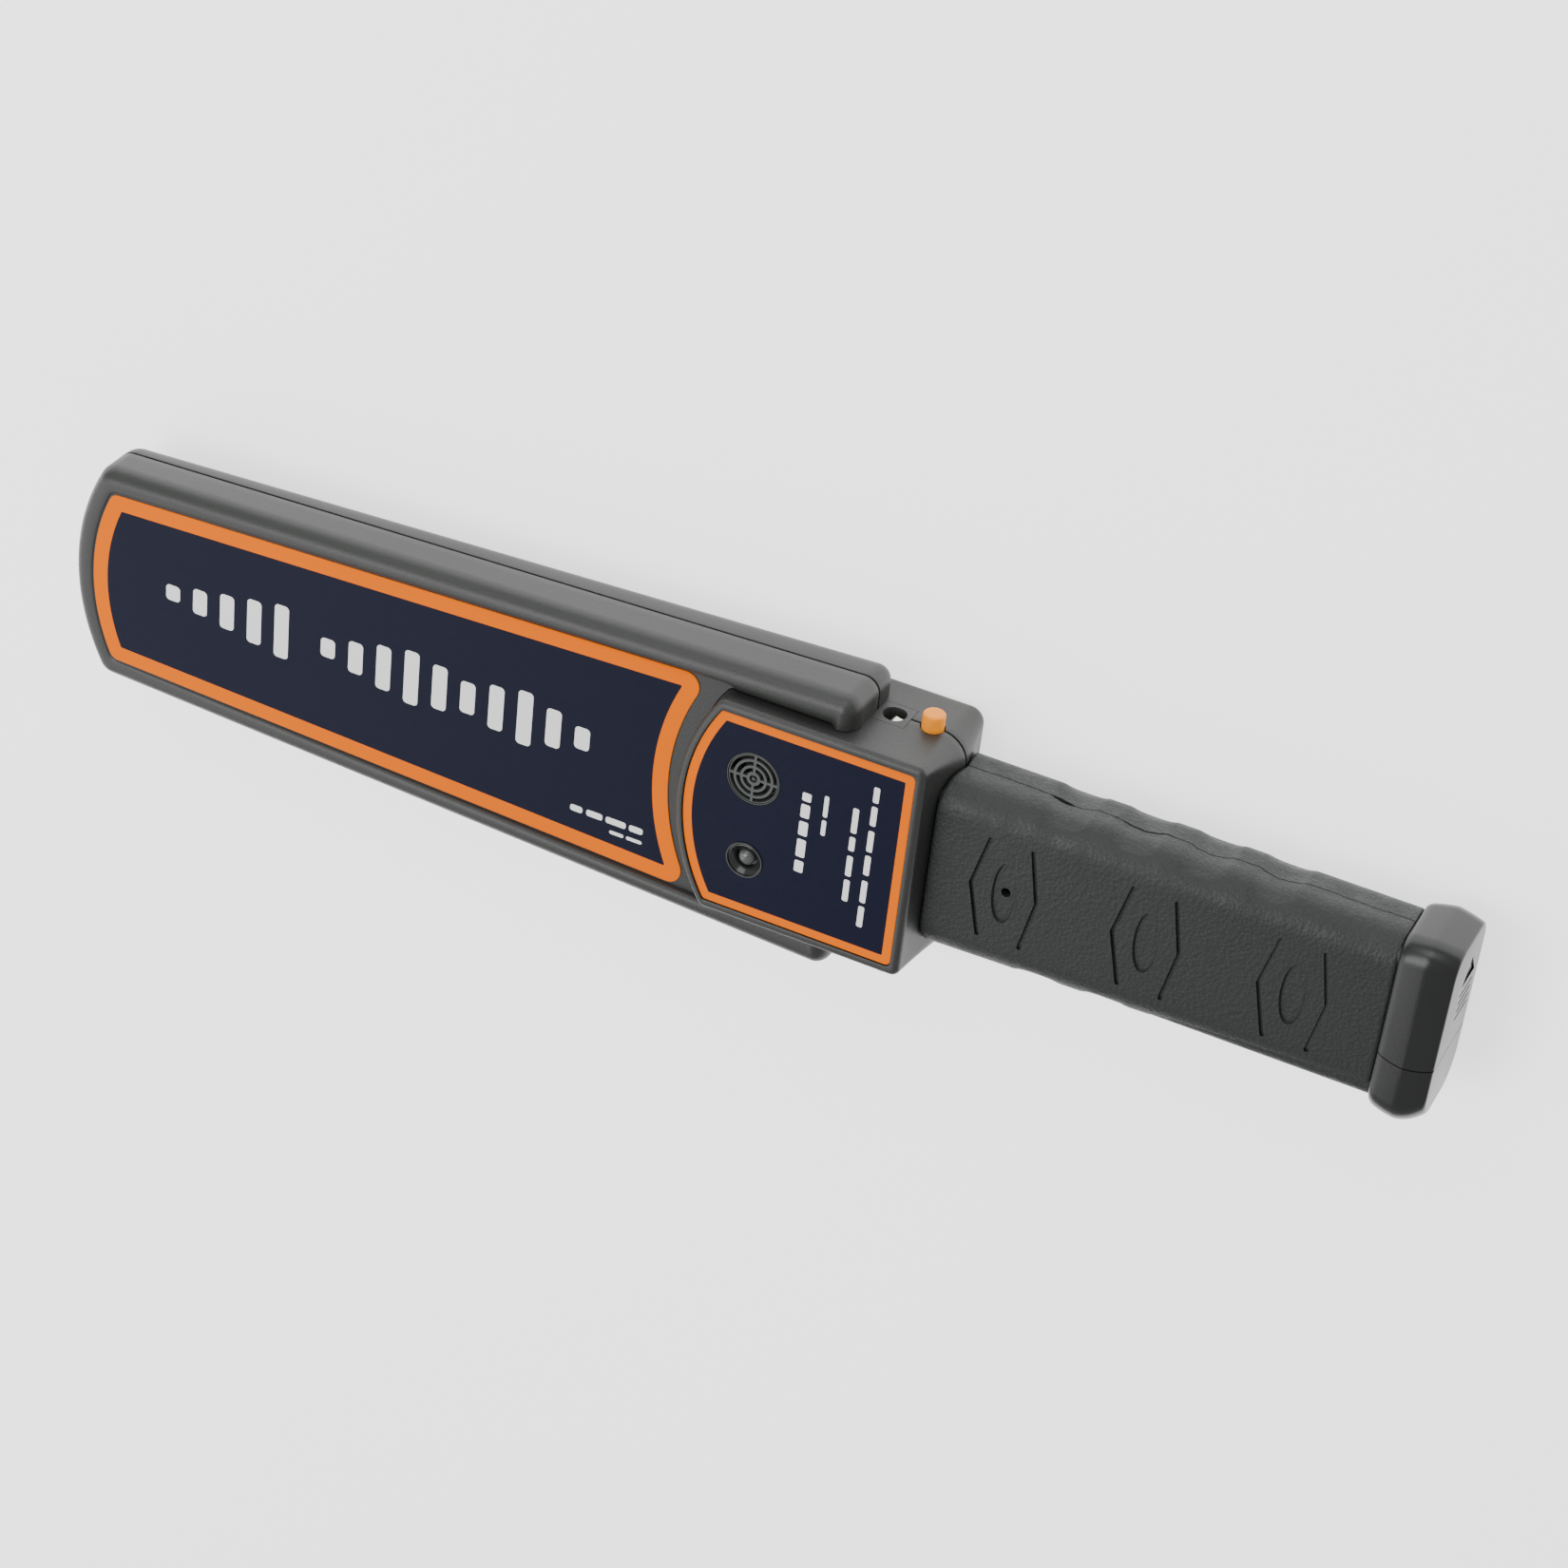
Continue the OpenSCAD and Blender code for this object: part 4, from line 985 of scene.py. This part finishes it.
def lens(x, c, w):
    return max(0.0, 1 - ((x - c) / w) ** 2)


def ragged(x, k):
    """A fixed uneven line between -1 and 1."""
    return (math.sin(x * 1.31 + k) * 0.5 + math.sin(x * 3.17 + 2.1 * k) * 0.3
            + math.sin(x * 7.9 + 0.7 * k) * 0.2)


def parting(x, side):
    """Height, half-width, depth and flash of the mould's parting line at x."""
    k = 1.0 if side > 0 else 4.0
    height = SEAM_Z + 0.28 * ragged(x * 0.22, k) + 0.1 * ragged(x * 0.7, k)
    open_part = lens(x, 93.4, 3.4) + 0.35 * lens(x, 117.0, 8.0)
    fade = 0.55 + 0.45 * math.cos(min(1.0, max(0.0, (x - 120) / 60)) * math.pi)
    width = 0.12 + 0.5 * open_part + 0.05 * abs(ragged(x, k))
    depth = 0.16 + 0.2 * fade + 0.8 * open_part
    flash = 0.02 + 0.26 * lens(x, 110.0, 7.0) * max(0.0, ragged(x * 1.6, k)) ** 0.5
    return height, width, depth, flash


SEAM_K = (-3.2, -1.9, -1.15, -0.8, 0.0, 0.8, 1.15, 1.9, 3.2)


def sleeve_ring(x, half, low, high, r, inset=0.0, detail=True):
    """One cross-section of the sleeve, always with the same count of points."""
    half, low, high = half - inset, low + inset, high - inset
    n = 14

    def side(s):
        height, width, depth, flash = parting(x, s) if detail else (SEAM_Z, 0.3, 0, 0)
        lower = np.linspace(low + r, height - 3.2 * width, 7)[:-1]
        upper = np.linspace(height + 3.2 * width, high - r, 7)[1:]
        z = np.concatenate([lower, [height + k * width for k in SEAM_K], upper])
        y = np.full(len(z), half)
        cut = np.array([0, 0, 0, 0.75, 1.0, 0.75, 0, 0, 0]) * depth
        rise = np.array([0, 0, 0.5, 0, 0, 0, 1.0, 0.45, 0]) * flash
        y[6:15] += rise - cut
        return np.stack([y * s, z], 1)

    right = side(1)
    left = side(-1)[::-1]
    top = np.stack([np.linspace(half - r, r - half, 22)[1:-1], np.full(20, high)], 1)
    bottom = np.stack([np.linspace(r - half, half - r, 22)[1:-1], np.full(20, low)], 1)
    p = np.concatenate([
        right, arc(half - r, high - r, r, 0, 90, n)[1:], top,
        arc(r - half, high - r, r, 90, 180, n)[:-1], left,
        arc(r - half, low + r, r, 180, 270, n)[1:], bottom,
        arc(half - r, low + r, r, 270, 360, n)[:-1]])
    if detail:
        on_side = ease((np.abs(p[:, 0]) - half + r) / (0.6 * r))
        dip = scallop(x) * on_side * dip_reach(p[:, 1], low, high)
        p[:, 0] += GRIP_LEAN * along(x) - np.sign(p[:, 0]) * dip
        p[:, 1] -= CROWN * (p[:, 0] / half) ** 2 * ((p[:, 1] - GRIP_Z) / (GRIP_T / 2)) ** 3
    ring = at_x(p, x)
    fade = min(1.0, max(0.0, 1 - (x - GRIP_X0) / START_FADE))
    ring[:, 0] += fade * (box_end(ring[:, 2]) + START_GAP - GRIP_X0)
    return ring


def grip_sleeve():
    rings = [(GRIP_X0 + x, inset) for x, inset in ((0.0, 0.9), (0.12, 0.5), (0.4, 0.15), (0.8, 0.02))]
    steps = int((GRIP_X1 - GRIP_X0) / 0.45)
    rings += [(x, 0.0) for x in np.linspace(GRIP_X0 + 1.2, GRIP_X1 - 1.0, steps)]
    rings += [(GRIP_X1 - 0.5, 0.05), (GRIP_X1 - 0.15, 0.25), (GRIP_X1 - 0.02, 0.6)]
    outer = [sleeve_ring(x, grip_half(x), grip_low[2], grip_top(x), GRIP_CORNER, inset)
             for x, inset in rings]
    inner = [sleeve_ring(x, CORE_HALF + 0.06, GRIP_Z - CORE_T / 2 - 0.06, GRIP_Z + CORE_T / 2 + 0.06,
                         CORE_R, 0.0, False) for x in (GRIP_X1 - 0.02, GRIP_X0)]
    return loft("grip_sleeve_skin", outer + inner, [RUBBER], ring_close=True)


def motif(x):
    """Cuts for one pattern on the front: a line each side of a sunk oval."""
    z = grip_top(x) - 1.0
    cuts = [prism("line", stroke(p, LINE_WIDTH) + (x, 0), z, 34) for p in MOTIF_LINES]
    a = np.linspace(0, 2 * math.pi, 64, endpoint=False)
    oval = np.stack([x + OVAL_LONG * np.cos(a), OVAL_HIGH * np.sin(a)], 1)
    cuts.append(loft("oval", [at_z(oval, z + 0.25), at_z(inwards(oval, -0.9), z + 2.2)]))
    return cuts


grip = grip_sleeve()
for x in MOTIF_X:
    boolean(grip, motif(x))
boolean(grip, [rod("trimmer_way", foot(TRIMMER), 1.35, GRIP_Z + 6, 40, n=40)])
place(grip, "housing", ["grip_sleeve"], angle=28)

# -------- end cap: collar and battery door
CAP_RIDGE_X = 196.7
CAP_END_X = END_X - 0.2
CAP_EDGE = 0.6
CAP_ROLL, CAP_ROLL_X = 0.9, 2.0
COLLAR_GAP = 0.15
DOOR_WALL = 2.1
RAIL_T = 11.4
MARK_Z = GRIP_Z - 3.2
MARK_HALF = 5.3


def cap_low_y(x):
    return -CAP_HALF + 0.1 + (0.03 if x < CAP_RIDGE_X else 0.07) * (x - CAP_RIDGE_X) ** 2


def cap_high_y(x):
    off = abs(x - CAP_RIDGE_X)
    return CAP_HALF - 0.08 * off - 0.013 * off ** 2


def cap_half_t(x):
    off = abs(x - CAP_RIDGE_X)
    return CAP_T / 2 - 0.1 * off - 0.007 * off ** 2


def cap_ring(x, inset=0.0):
    """A cross-section of the cap: a rounded rectangle, rounder on the collar's side."""
    low, high, half = cap_low_y(x) + inset, cap_high_y(x) - inset, cap_half_t(x) - inset
    corners = [(high, -half, 6.6, -90), (high, half, 6.4, 0),
               (low, half, 8.0, 90), (low, -half, 9.0, 180)]
    p = []
    for y, z, r, a in corners:
        r -= inset
        p.append(arc(y - math.copysign(r, y), z - math.copysign(r, z), r, a, a + 90, 20))
    p = np.concatenate(p)
    p[:, 1] += GRIP_Z
    return at_x(p, x)


def cap_form():
    steps = [(GRIP_X1 + 0.05, CAP_ROLL + 0.5)]
    steps += [(GRIP_X1 + 0.2 + CAP_ROLL_X * inward, CAP_ROLL * (1 - rise)) for inward, rise in quarter(4, 9)]
    steps += [(x, 0.0) for x in np.linspace(GRIP_X1 + CAP_ROLL_X + 0.8, CAP_RIDGE_X, 7)]
    steps += [(x, 0.0) for x in np.linspace(CAP_RIDGE_X + 0.8, CAP_END_X - CAP_EDGE, 9)]
    steps += [(CAP_END_X - CAP_EDGE * (1 - rise), CAP_EDGE * inward) for inward, rise in quarter(18, 5)]
    return loft("cap_form", [cap_ring(x, inset) for x, inset in steps], [CAP])


def split_y(x):
    return SPLIT_Y - 0.5 + 0.025 * (x - CAP_RIDGE_X) ** 2


def split_cutter(side):
    """Everything on one side of the curved line between the collar and the door."""
    xs = np.linspace(GRIP_X1 - 2, END_X + 2, 40)
    edge = [(x, split_y(x) - side * COLLAR_GAP) for x in xs]
    far = side * 60
    return prism("split", edge + [(END_X + 2, far), (GRIP_X1 - 2, far)], -5, 45)


def cap_core(x0, x1, half, half_t, r, side=0):
    """A bar with round corners along X inside the cap, kept on one side of the split if asked."""
    p = rounded_bar(-half, GRIP_Z - half_t, half, GRIP_Z + half_t, r, 12)
    if side:
        p = p[p[:, 0] * side > -4] if side > 0 else p[p[:, 0] < SPLIT_Y + 2]
    return loft("cap_core", [at_x(p, x0), at_x(p, x1)])


COLLAR_X = GRIP_X1 + 3.4
CAP_IN_R = 7.5
RAIL_END_Y = 19.0
inner_x = CAP_END_X - DOOR_WALL
bay_low, bay_high = node_box("battery_case")


def rails(name, y0, y1, half_x, half_z, x, z):
    """A pair of bars above and below the battery opening."""
    return [block(name, (x - half_x, y0, middle - half_z), (x + half_x, y1, middle + half_z))
            for middle in (GRIP_Z - z, GRIP_Z + z)]


collar = boolean(cap_form(), [split_cutter(1)])
boolean(collar, [cap_core(COLLAR_X, END_X - 3 * DOOR_WALL, CAP_HALF - 2 * DOOR_WALL,
                          CAP_T / 2 - DOOR_WALL - 0.4, CAP_IN_R, -1)])
plate = cap_core(GRIP_X1 + 0.06, COLLAR_X, cap_high[1], RAIL_T, CAP_IN_R - 0.3)
boolean(plate, [block("far_side", (GRIP_X1 - 1, -40, 0), (END_X, SPLIT_Y - 5, 40))])
boolean(collar, [plate], "UNION")
boolean(collar, [block("bay", (GRIP_X1 - 1, bay_low[1] - 0.4, bay_low[2] - 0.4),
                       (COLLAR_X + 1, bay_high[1] + 0.4, bay_high[2] + 0.4))]
        + rails("rail_groove", SPLIT_Y - 0.2, 40, 0.6, 0.65, GRIP_X1 + 1.6, RAIL_T - 0.55))
collar.name = "end_collar_skin"
place(collar, "housing", ["end_collar"], angle=24)

door = boolean(cap_form(), [split_cutter(-1)])
boolean(door, [cap_core(GRIP_X1 - 1, inner_x, CAP_HALF - DOOR_WALL - 0.8, RAIL_T + 0.1, CAP_IN_R)])
boolean(door, rails("tongue", SPLIT_Y + 0.4, RAIL_END_Y, 0.4, 0.7, GRIP_X1 + 1.6, RAIL_T - 0.2), "UNION")


def end_mark(points):
    """A cut in the end face, from an outline in Y and Z."""
    p = np.asarray(points, float) + (0, MARK_Z)
    return loft("mark", [at_x(p, CAP_END_X - 0.5), at_x(p, CAP_END_X + 2)])


marks = [end_mark([(12.4, -MARK_HALF), (19.2, 0), (12.4, MARK_HALF)])]
for y in (9.6, 7.2, 4.8, 2.4):
    marks.append(end_mark(rounded_bar(y - 0.4, -MARK_HALF, y + 0.4, MARK_HALF, 0.3, 3)))
boolean(door, marks)
door.name = "battery_door_skin"
place(door, "battery_door", ["battery_door"], angle=24)

# -------- speaker grille and lamp
SLOT_ROWS = ((5.85, 6.95), (3.95, 5.1), (2.05, 3.2))
SPOKE_HALF = 0.36


def sector(r0, r1, a0, a1, n=14):
    return np.concatenate([arc(0, 0, r1, a0, a1, n), arc(0, 0, r0, a1, a0, n)])


def grille_plate():
    """Round plate with three rows of slots between four spokes."""
    top = small_high[2] + 0.12
    plate = lathe("speaker_grille_plate", [
        (GRILLE_R - 0.02, grille_low[2]), (GRILLE_R - 0.02, top - 0.08), (GRILLE_R - 0.1, top),
        (GRILLE_R - 0.26, top), (GRILLE_R - 0.32, top - 0.1), (GRILLE_R - 0.34, top - 0.5),
        (GRILLE_R - 0.5, top - 0.5), (GRILLE_R - 0.52, top - 0.24), (GRILLE_R - 0.6, top - 0.18)],
        foot(SPEAKER), n=120, materials=[GRILLE])
    cuts = []
    for r0, r1 in SLOT_ROWS:
        for q in range(4):
            gap = math.degrees(SPOKE_HALF / ((r0 + r1) / 2))
            p = sector(r0, r1, q * 90 + gap, q * 90 + 90 - gap)
            cuts.append(prism("slot", p + SPEAKER[:2], grille_low[2] - 1, top + 1))
    hub = sector(0.42, 1.15, 0, 359.0, 40)
    cuts.append(prism("slot", hub + SPEAKER[:2], top - 1.2, top + 1))
    return boolean(plate, cuts)


place(grille_plate(), "housing", ["speaker_grille"], angle=35)

buzzer_low, buzzer_high = node_box("buzzer")
buzzer_top = buzzer_high[2]
# The can's rim, and two rings round the sound hole, measured from its top
sound_hole = [(10.0, -5), (10.0, -0.4), (9.6, 0), (7.2, 0), (7.0, 0.35), (6.2, 0.35), (6.0, 0), (4.6, -0.1),
              (4.4, 0.25), (3.5, 0.25), (3.3, -0.1), (1.4, -0.2), (1.2, -1.6)]
buzzer = lathe("buzzer_can", sound_hole, (SPEAKER[0], SPEAKER[1], buzzer_top), n=72, materials=[BUZZER])
buzzer_pins = [rod("pin", foot(SPEAKER + (s * 3.8, 0, 0)), 0.4, buzzer_low[2], buzzer_top - 4, n=16)
               for s in (-1, 1)]
boolean(buzzer, buzzer_pins, "UNION")
place(buzzer, "housing", ["buzzer"])

# The bezel's profile goes up its outside, over its rim and down the bore round the lamp
rim_z = small_high[2] + 0.35
base_z, bore_z = bezel_low[2] - rim_z, -0.62
bezel = lathe("lamp_bezel_ring", [
    (2.72, base_z), (BEZEL_R - 0.6, base_z), (BEZEL_R - 0.6, -0.35), (BEZEL_R - 0.05, -0.33),
    (BEZEL_R, -0.12), (BEZEL_R - 0.1, 0), (BEZEL_R - 0.42, 0), (BEZEL_R - 0.5, -0.1),
    (BEZEL_R - 0.52, bore_z), (BEZEL_R - 0.74, bore_z), (BEZEL_R - 0.76, -0.28), (BEZEL_R - 0.95, -0.2),
    (4.1, bore_z), (3.5, -1.15), (3.14, -1.75), (3.02, -2.2), (3.0, -3.6), (2.74, -3.7)],
    (LAMP[0], LAMP[1], rim_z), n=120, materials=[BEZEL])
place(bezel, "housing", ["lamp_bezel"], angle=26)

lamp_low, lamp_high = node_box("indicator_lamp")
lamp_top, flange_z = lamp_high[2], lamp_low[2] + 9.0
LENS_R, FLANGE_R, DOME = 2.4, 2.9, 1.6
profile = [(2.3, flange_z), (FLANGE_R, flange_z), (FLANGE_R, flange_z + 1.0), (LENS_R, flange_z + 1.0),
           (LENS_R, lamp_top - DOME)]
profile += [(LENS_R * (1 - inward), lamp_top - DOME * (1 - rise)) for inward, rise in quarter(8, 12)]
led = lathe("indicator_lamp_lens", profile, foot(LAMP), n=64, materials=[LAMP_PLASTIC])
place(led, "housing", ["indicator_lamp"], angle=60)
for s in (-1, 1):
    lead = lathe("indicator_lamp_lead_" + ("a" if s < 0 else "b"), [
        (0.3, lamp_low[2]), (0.3, lamp_top - 2.4), (0.52, lamp_top - 2.1), (0.5, lamp_top - 1.0),
        (0.3, lamp_top - 0.75)], (LAMP[0] + s * 0.85, LAMP[1] + s * 0.25, 0), n=20, materials=[TIN])
    place(lead, "housing")

# -------- push button
foot_y, face_y = button_low[1], button_high[1]
button = lathe("button_cap_moulding", [
    (1.2, foot_y), (1.2, foot_y + 5.9), (4.1, foot_y + 6.0), (4.1, foot_y + 7.6), (3.05, foot_y + 7.65),
    (3.05, face_y - 0.75), (2.98, face_y - 0.42), (2.78, face_y - 0.16), (2.45, face_y - 0.03),
    (2.2, face_y), (0.4, face_y - 0.08)],
    (BUTTON[0], 0, SEAM_Z), "Y", n=72, materials=[BUTTON_ORANGE])
place(button, "button", ["button_cap"], angle=40)

# -------- charging socket
def box_envelope():
    """The box's side at the seam, without its groove."""
    rings = []
    for z in np.linspace(2, 34, 33):
        if z > BOX_LOW_Z:
            p = box_side(min(1.0, box_height(z)))
        else:
            p = mixed(seam_plan, rear_plan, np.clip((SEAM_Z - z) / (SEAM_Z - BACK_EDGE), 0, 1))
        rings.append(at_z(p, z))
    return loft("box_envelope", rings)


socket = block("socket_body", (socket_low[0], socket_low[1], socket_low[2]),
               (socket_high[0], 38, socket_high[2]), [SOCKET_PLASTIC])
boolean(socket, [box_envelope()], "INTERSECT")
mouth_y = socket_high[1]
socket_hole = lathe("socket_hole", [(3.6, mouth_y - 10), (3.6, mouth_y - 5), (3.15, mouth_y - 5),
                                    (3.15, mouth_y - 0.55), (3.4, mouth_y + 0.2), (3.4, 40)],
                    (SOCKET[0], 0, SEAM_Z), "Y", n=72)
boolean(socket, [socket_hole])
place(socket, "housing", ["socket_housing"], angle=25)

contact_low, contact_high = node_box("socket_spring_contact")
tab_y = socket_high[1] - 1.3
bend_r = 1.1
leaf = [(contact_high[0], y) for y in np.linspace(contact_low[1] - 0.6, tab_y - 1.2, 8)]
leaf += list(arc(contact_high[0] - bend_r, tab_y - bend_r, bend_r, 10, 80, 8))
leaf += [(contact_high[0] - x, tab_y + y) for x, y in ((1.6, 0.05), (2.5, 0.3), (3.0, 0.1), (3.3, -0.4))]
leaf = np.array(leaf)
tilt = np.gradient(leaf, axis=0)
tilt /= np.linalg.norm(tilt, axis=1)[:, None]
thick = np.stack([tilt[:, 1], -tilt[:, 0]], 1) * 0.16
contact = prism("socket_contact_leaf", np.concatenate([leaf + thick, (leaf - thick)[::-1]]),
                SOCKET[2] - 0.2, SOCKET[2] + 2.6, [TIN])
place(contact, "housing", ["socket_spring_contact"], angle=30)

# -------- mode switch
def knob():
    """Slider nub: a tapered finger rest with three grooves in its end, and its stem."""
    x0, x1, z0, z1 = KNOB[0] - 2.2, KNOB[0] + 2.2, KNOB[2] - 1.5, KNOB[2] + 1.5
    root_y, tip_y = -34.9, knob_low[1]

    def ring(y, inset, r):
        p = rounded_bar(x0 + inset, z0 + inset * 0.55, x1 - inset, z1 - inset * 0.55, r)
        return np.stack([p[:, 0], np.full(len(p), y), p[:, 1]], 1)

    obj = loft("mode_switch_nub", [ring(root_y, 0.0, 0.5), ring(root_y - 0.4, 0.05, 0.5),
                                   ring(tip_y + 0.9, 0.55, 0.6), ring(tip_y + 0.3, 0.7, 0.6),
                                   ring(tip_y, 1.0, 0.5)], [BLACK])
    stem = block("stem", (KNOB[0] - 1.4, root_y - 0.2, KNOB[2] - 1.3),
                 (KNOB[0] + 1.4, knob_high[1], KNOB[2] + 1.3))
    boolean(obj, [stem], "UNION")
    ribs = [block("rib", (x - 0.22, tip_y - 1, z0 - 1), (x + 0.22, tip_y + 0.45, z1 + 1))
            for x in KNOB[0] + np.array([-0.9, 0.0, 0.9])]
    return boolean(obj, ribs)


place(knob(), "mode_switch", ["mode_switch_knob"], angle=35)

# -------- floor, light
FLOOR_HALF, FLOOR_Z = 4000, -0.05
floor_corners = [(x * FLOOR_HALF, y * FLOOR_HALF, FLOOR_Z) for x, y in ((-1, -1), (1, -1), (1, 1), (-1, 1))]
floor = make_object("floor", floor_corners, [(0, 1, 2, 3)])
floor_nodes = Nodes("floor_paper")
floor_tone = floor_nodes.ramp(floor_nodes.noise(3.0, 2.0), [(0.3, (0.88, 0.88, 0.88, 1)),
                                                            (0.7, (0.91, 0.91, 0.91, 1))])
floor.data.materials.append(floor_nodes.finish(
    floor_tone, Roughness=0.9, Specular_IOR_Level=0.1, Emission_Color=(1.0, 1.0, 1.0, 1.0),
    Emission_Strength=1.5))

world = bpy.data.worlds.new("world")
bpy.context.scene.world = world
world.use_nodes = True
sky = world.node_tree.nodes["Background"]
sky.inputs["Color"].default_value = (1.0, 1.0, 1.0, 1.0)
sky.inputs["Strength"].default_value = 0.55


def area_light(name, position, target, size, power):
    data = bpy.data.lights.new(name, "AREA")
    data.shape = "RECTANGLE"
    data.size, data.size_y = size
    data.energy = power
    lamp = bpy.data.objects.new(name, data)
    bpy.context.scene.collection.objects.link(lamp)
    lamp.location = Vector(position)
    aim = Vector(target) - Vector(position)
    lamp.rotation_euler = aim.to_track_quat("-Z", "Y").to_euler()
    return lamp


middle = (0, 0, 0.02)
area_light("key", (-0.45, 0.2, 1.4), middle, (1.0, 0.8), 12)
area_light("fill", (-1.33, -0.67, 1.2), middle, (1.9, 1.9), 18)
area_light("side", (-0.1, 1.3, 0.9), middle, (1.2, 0.7), 8)
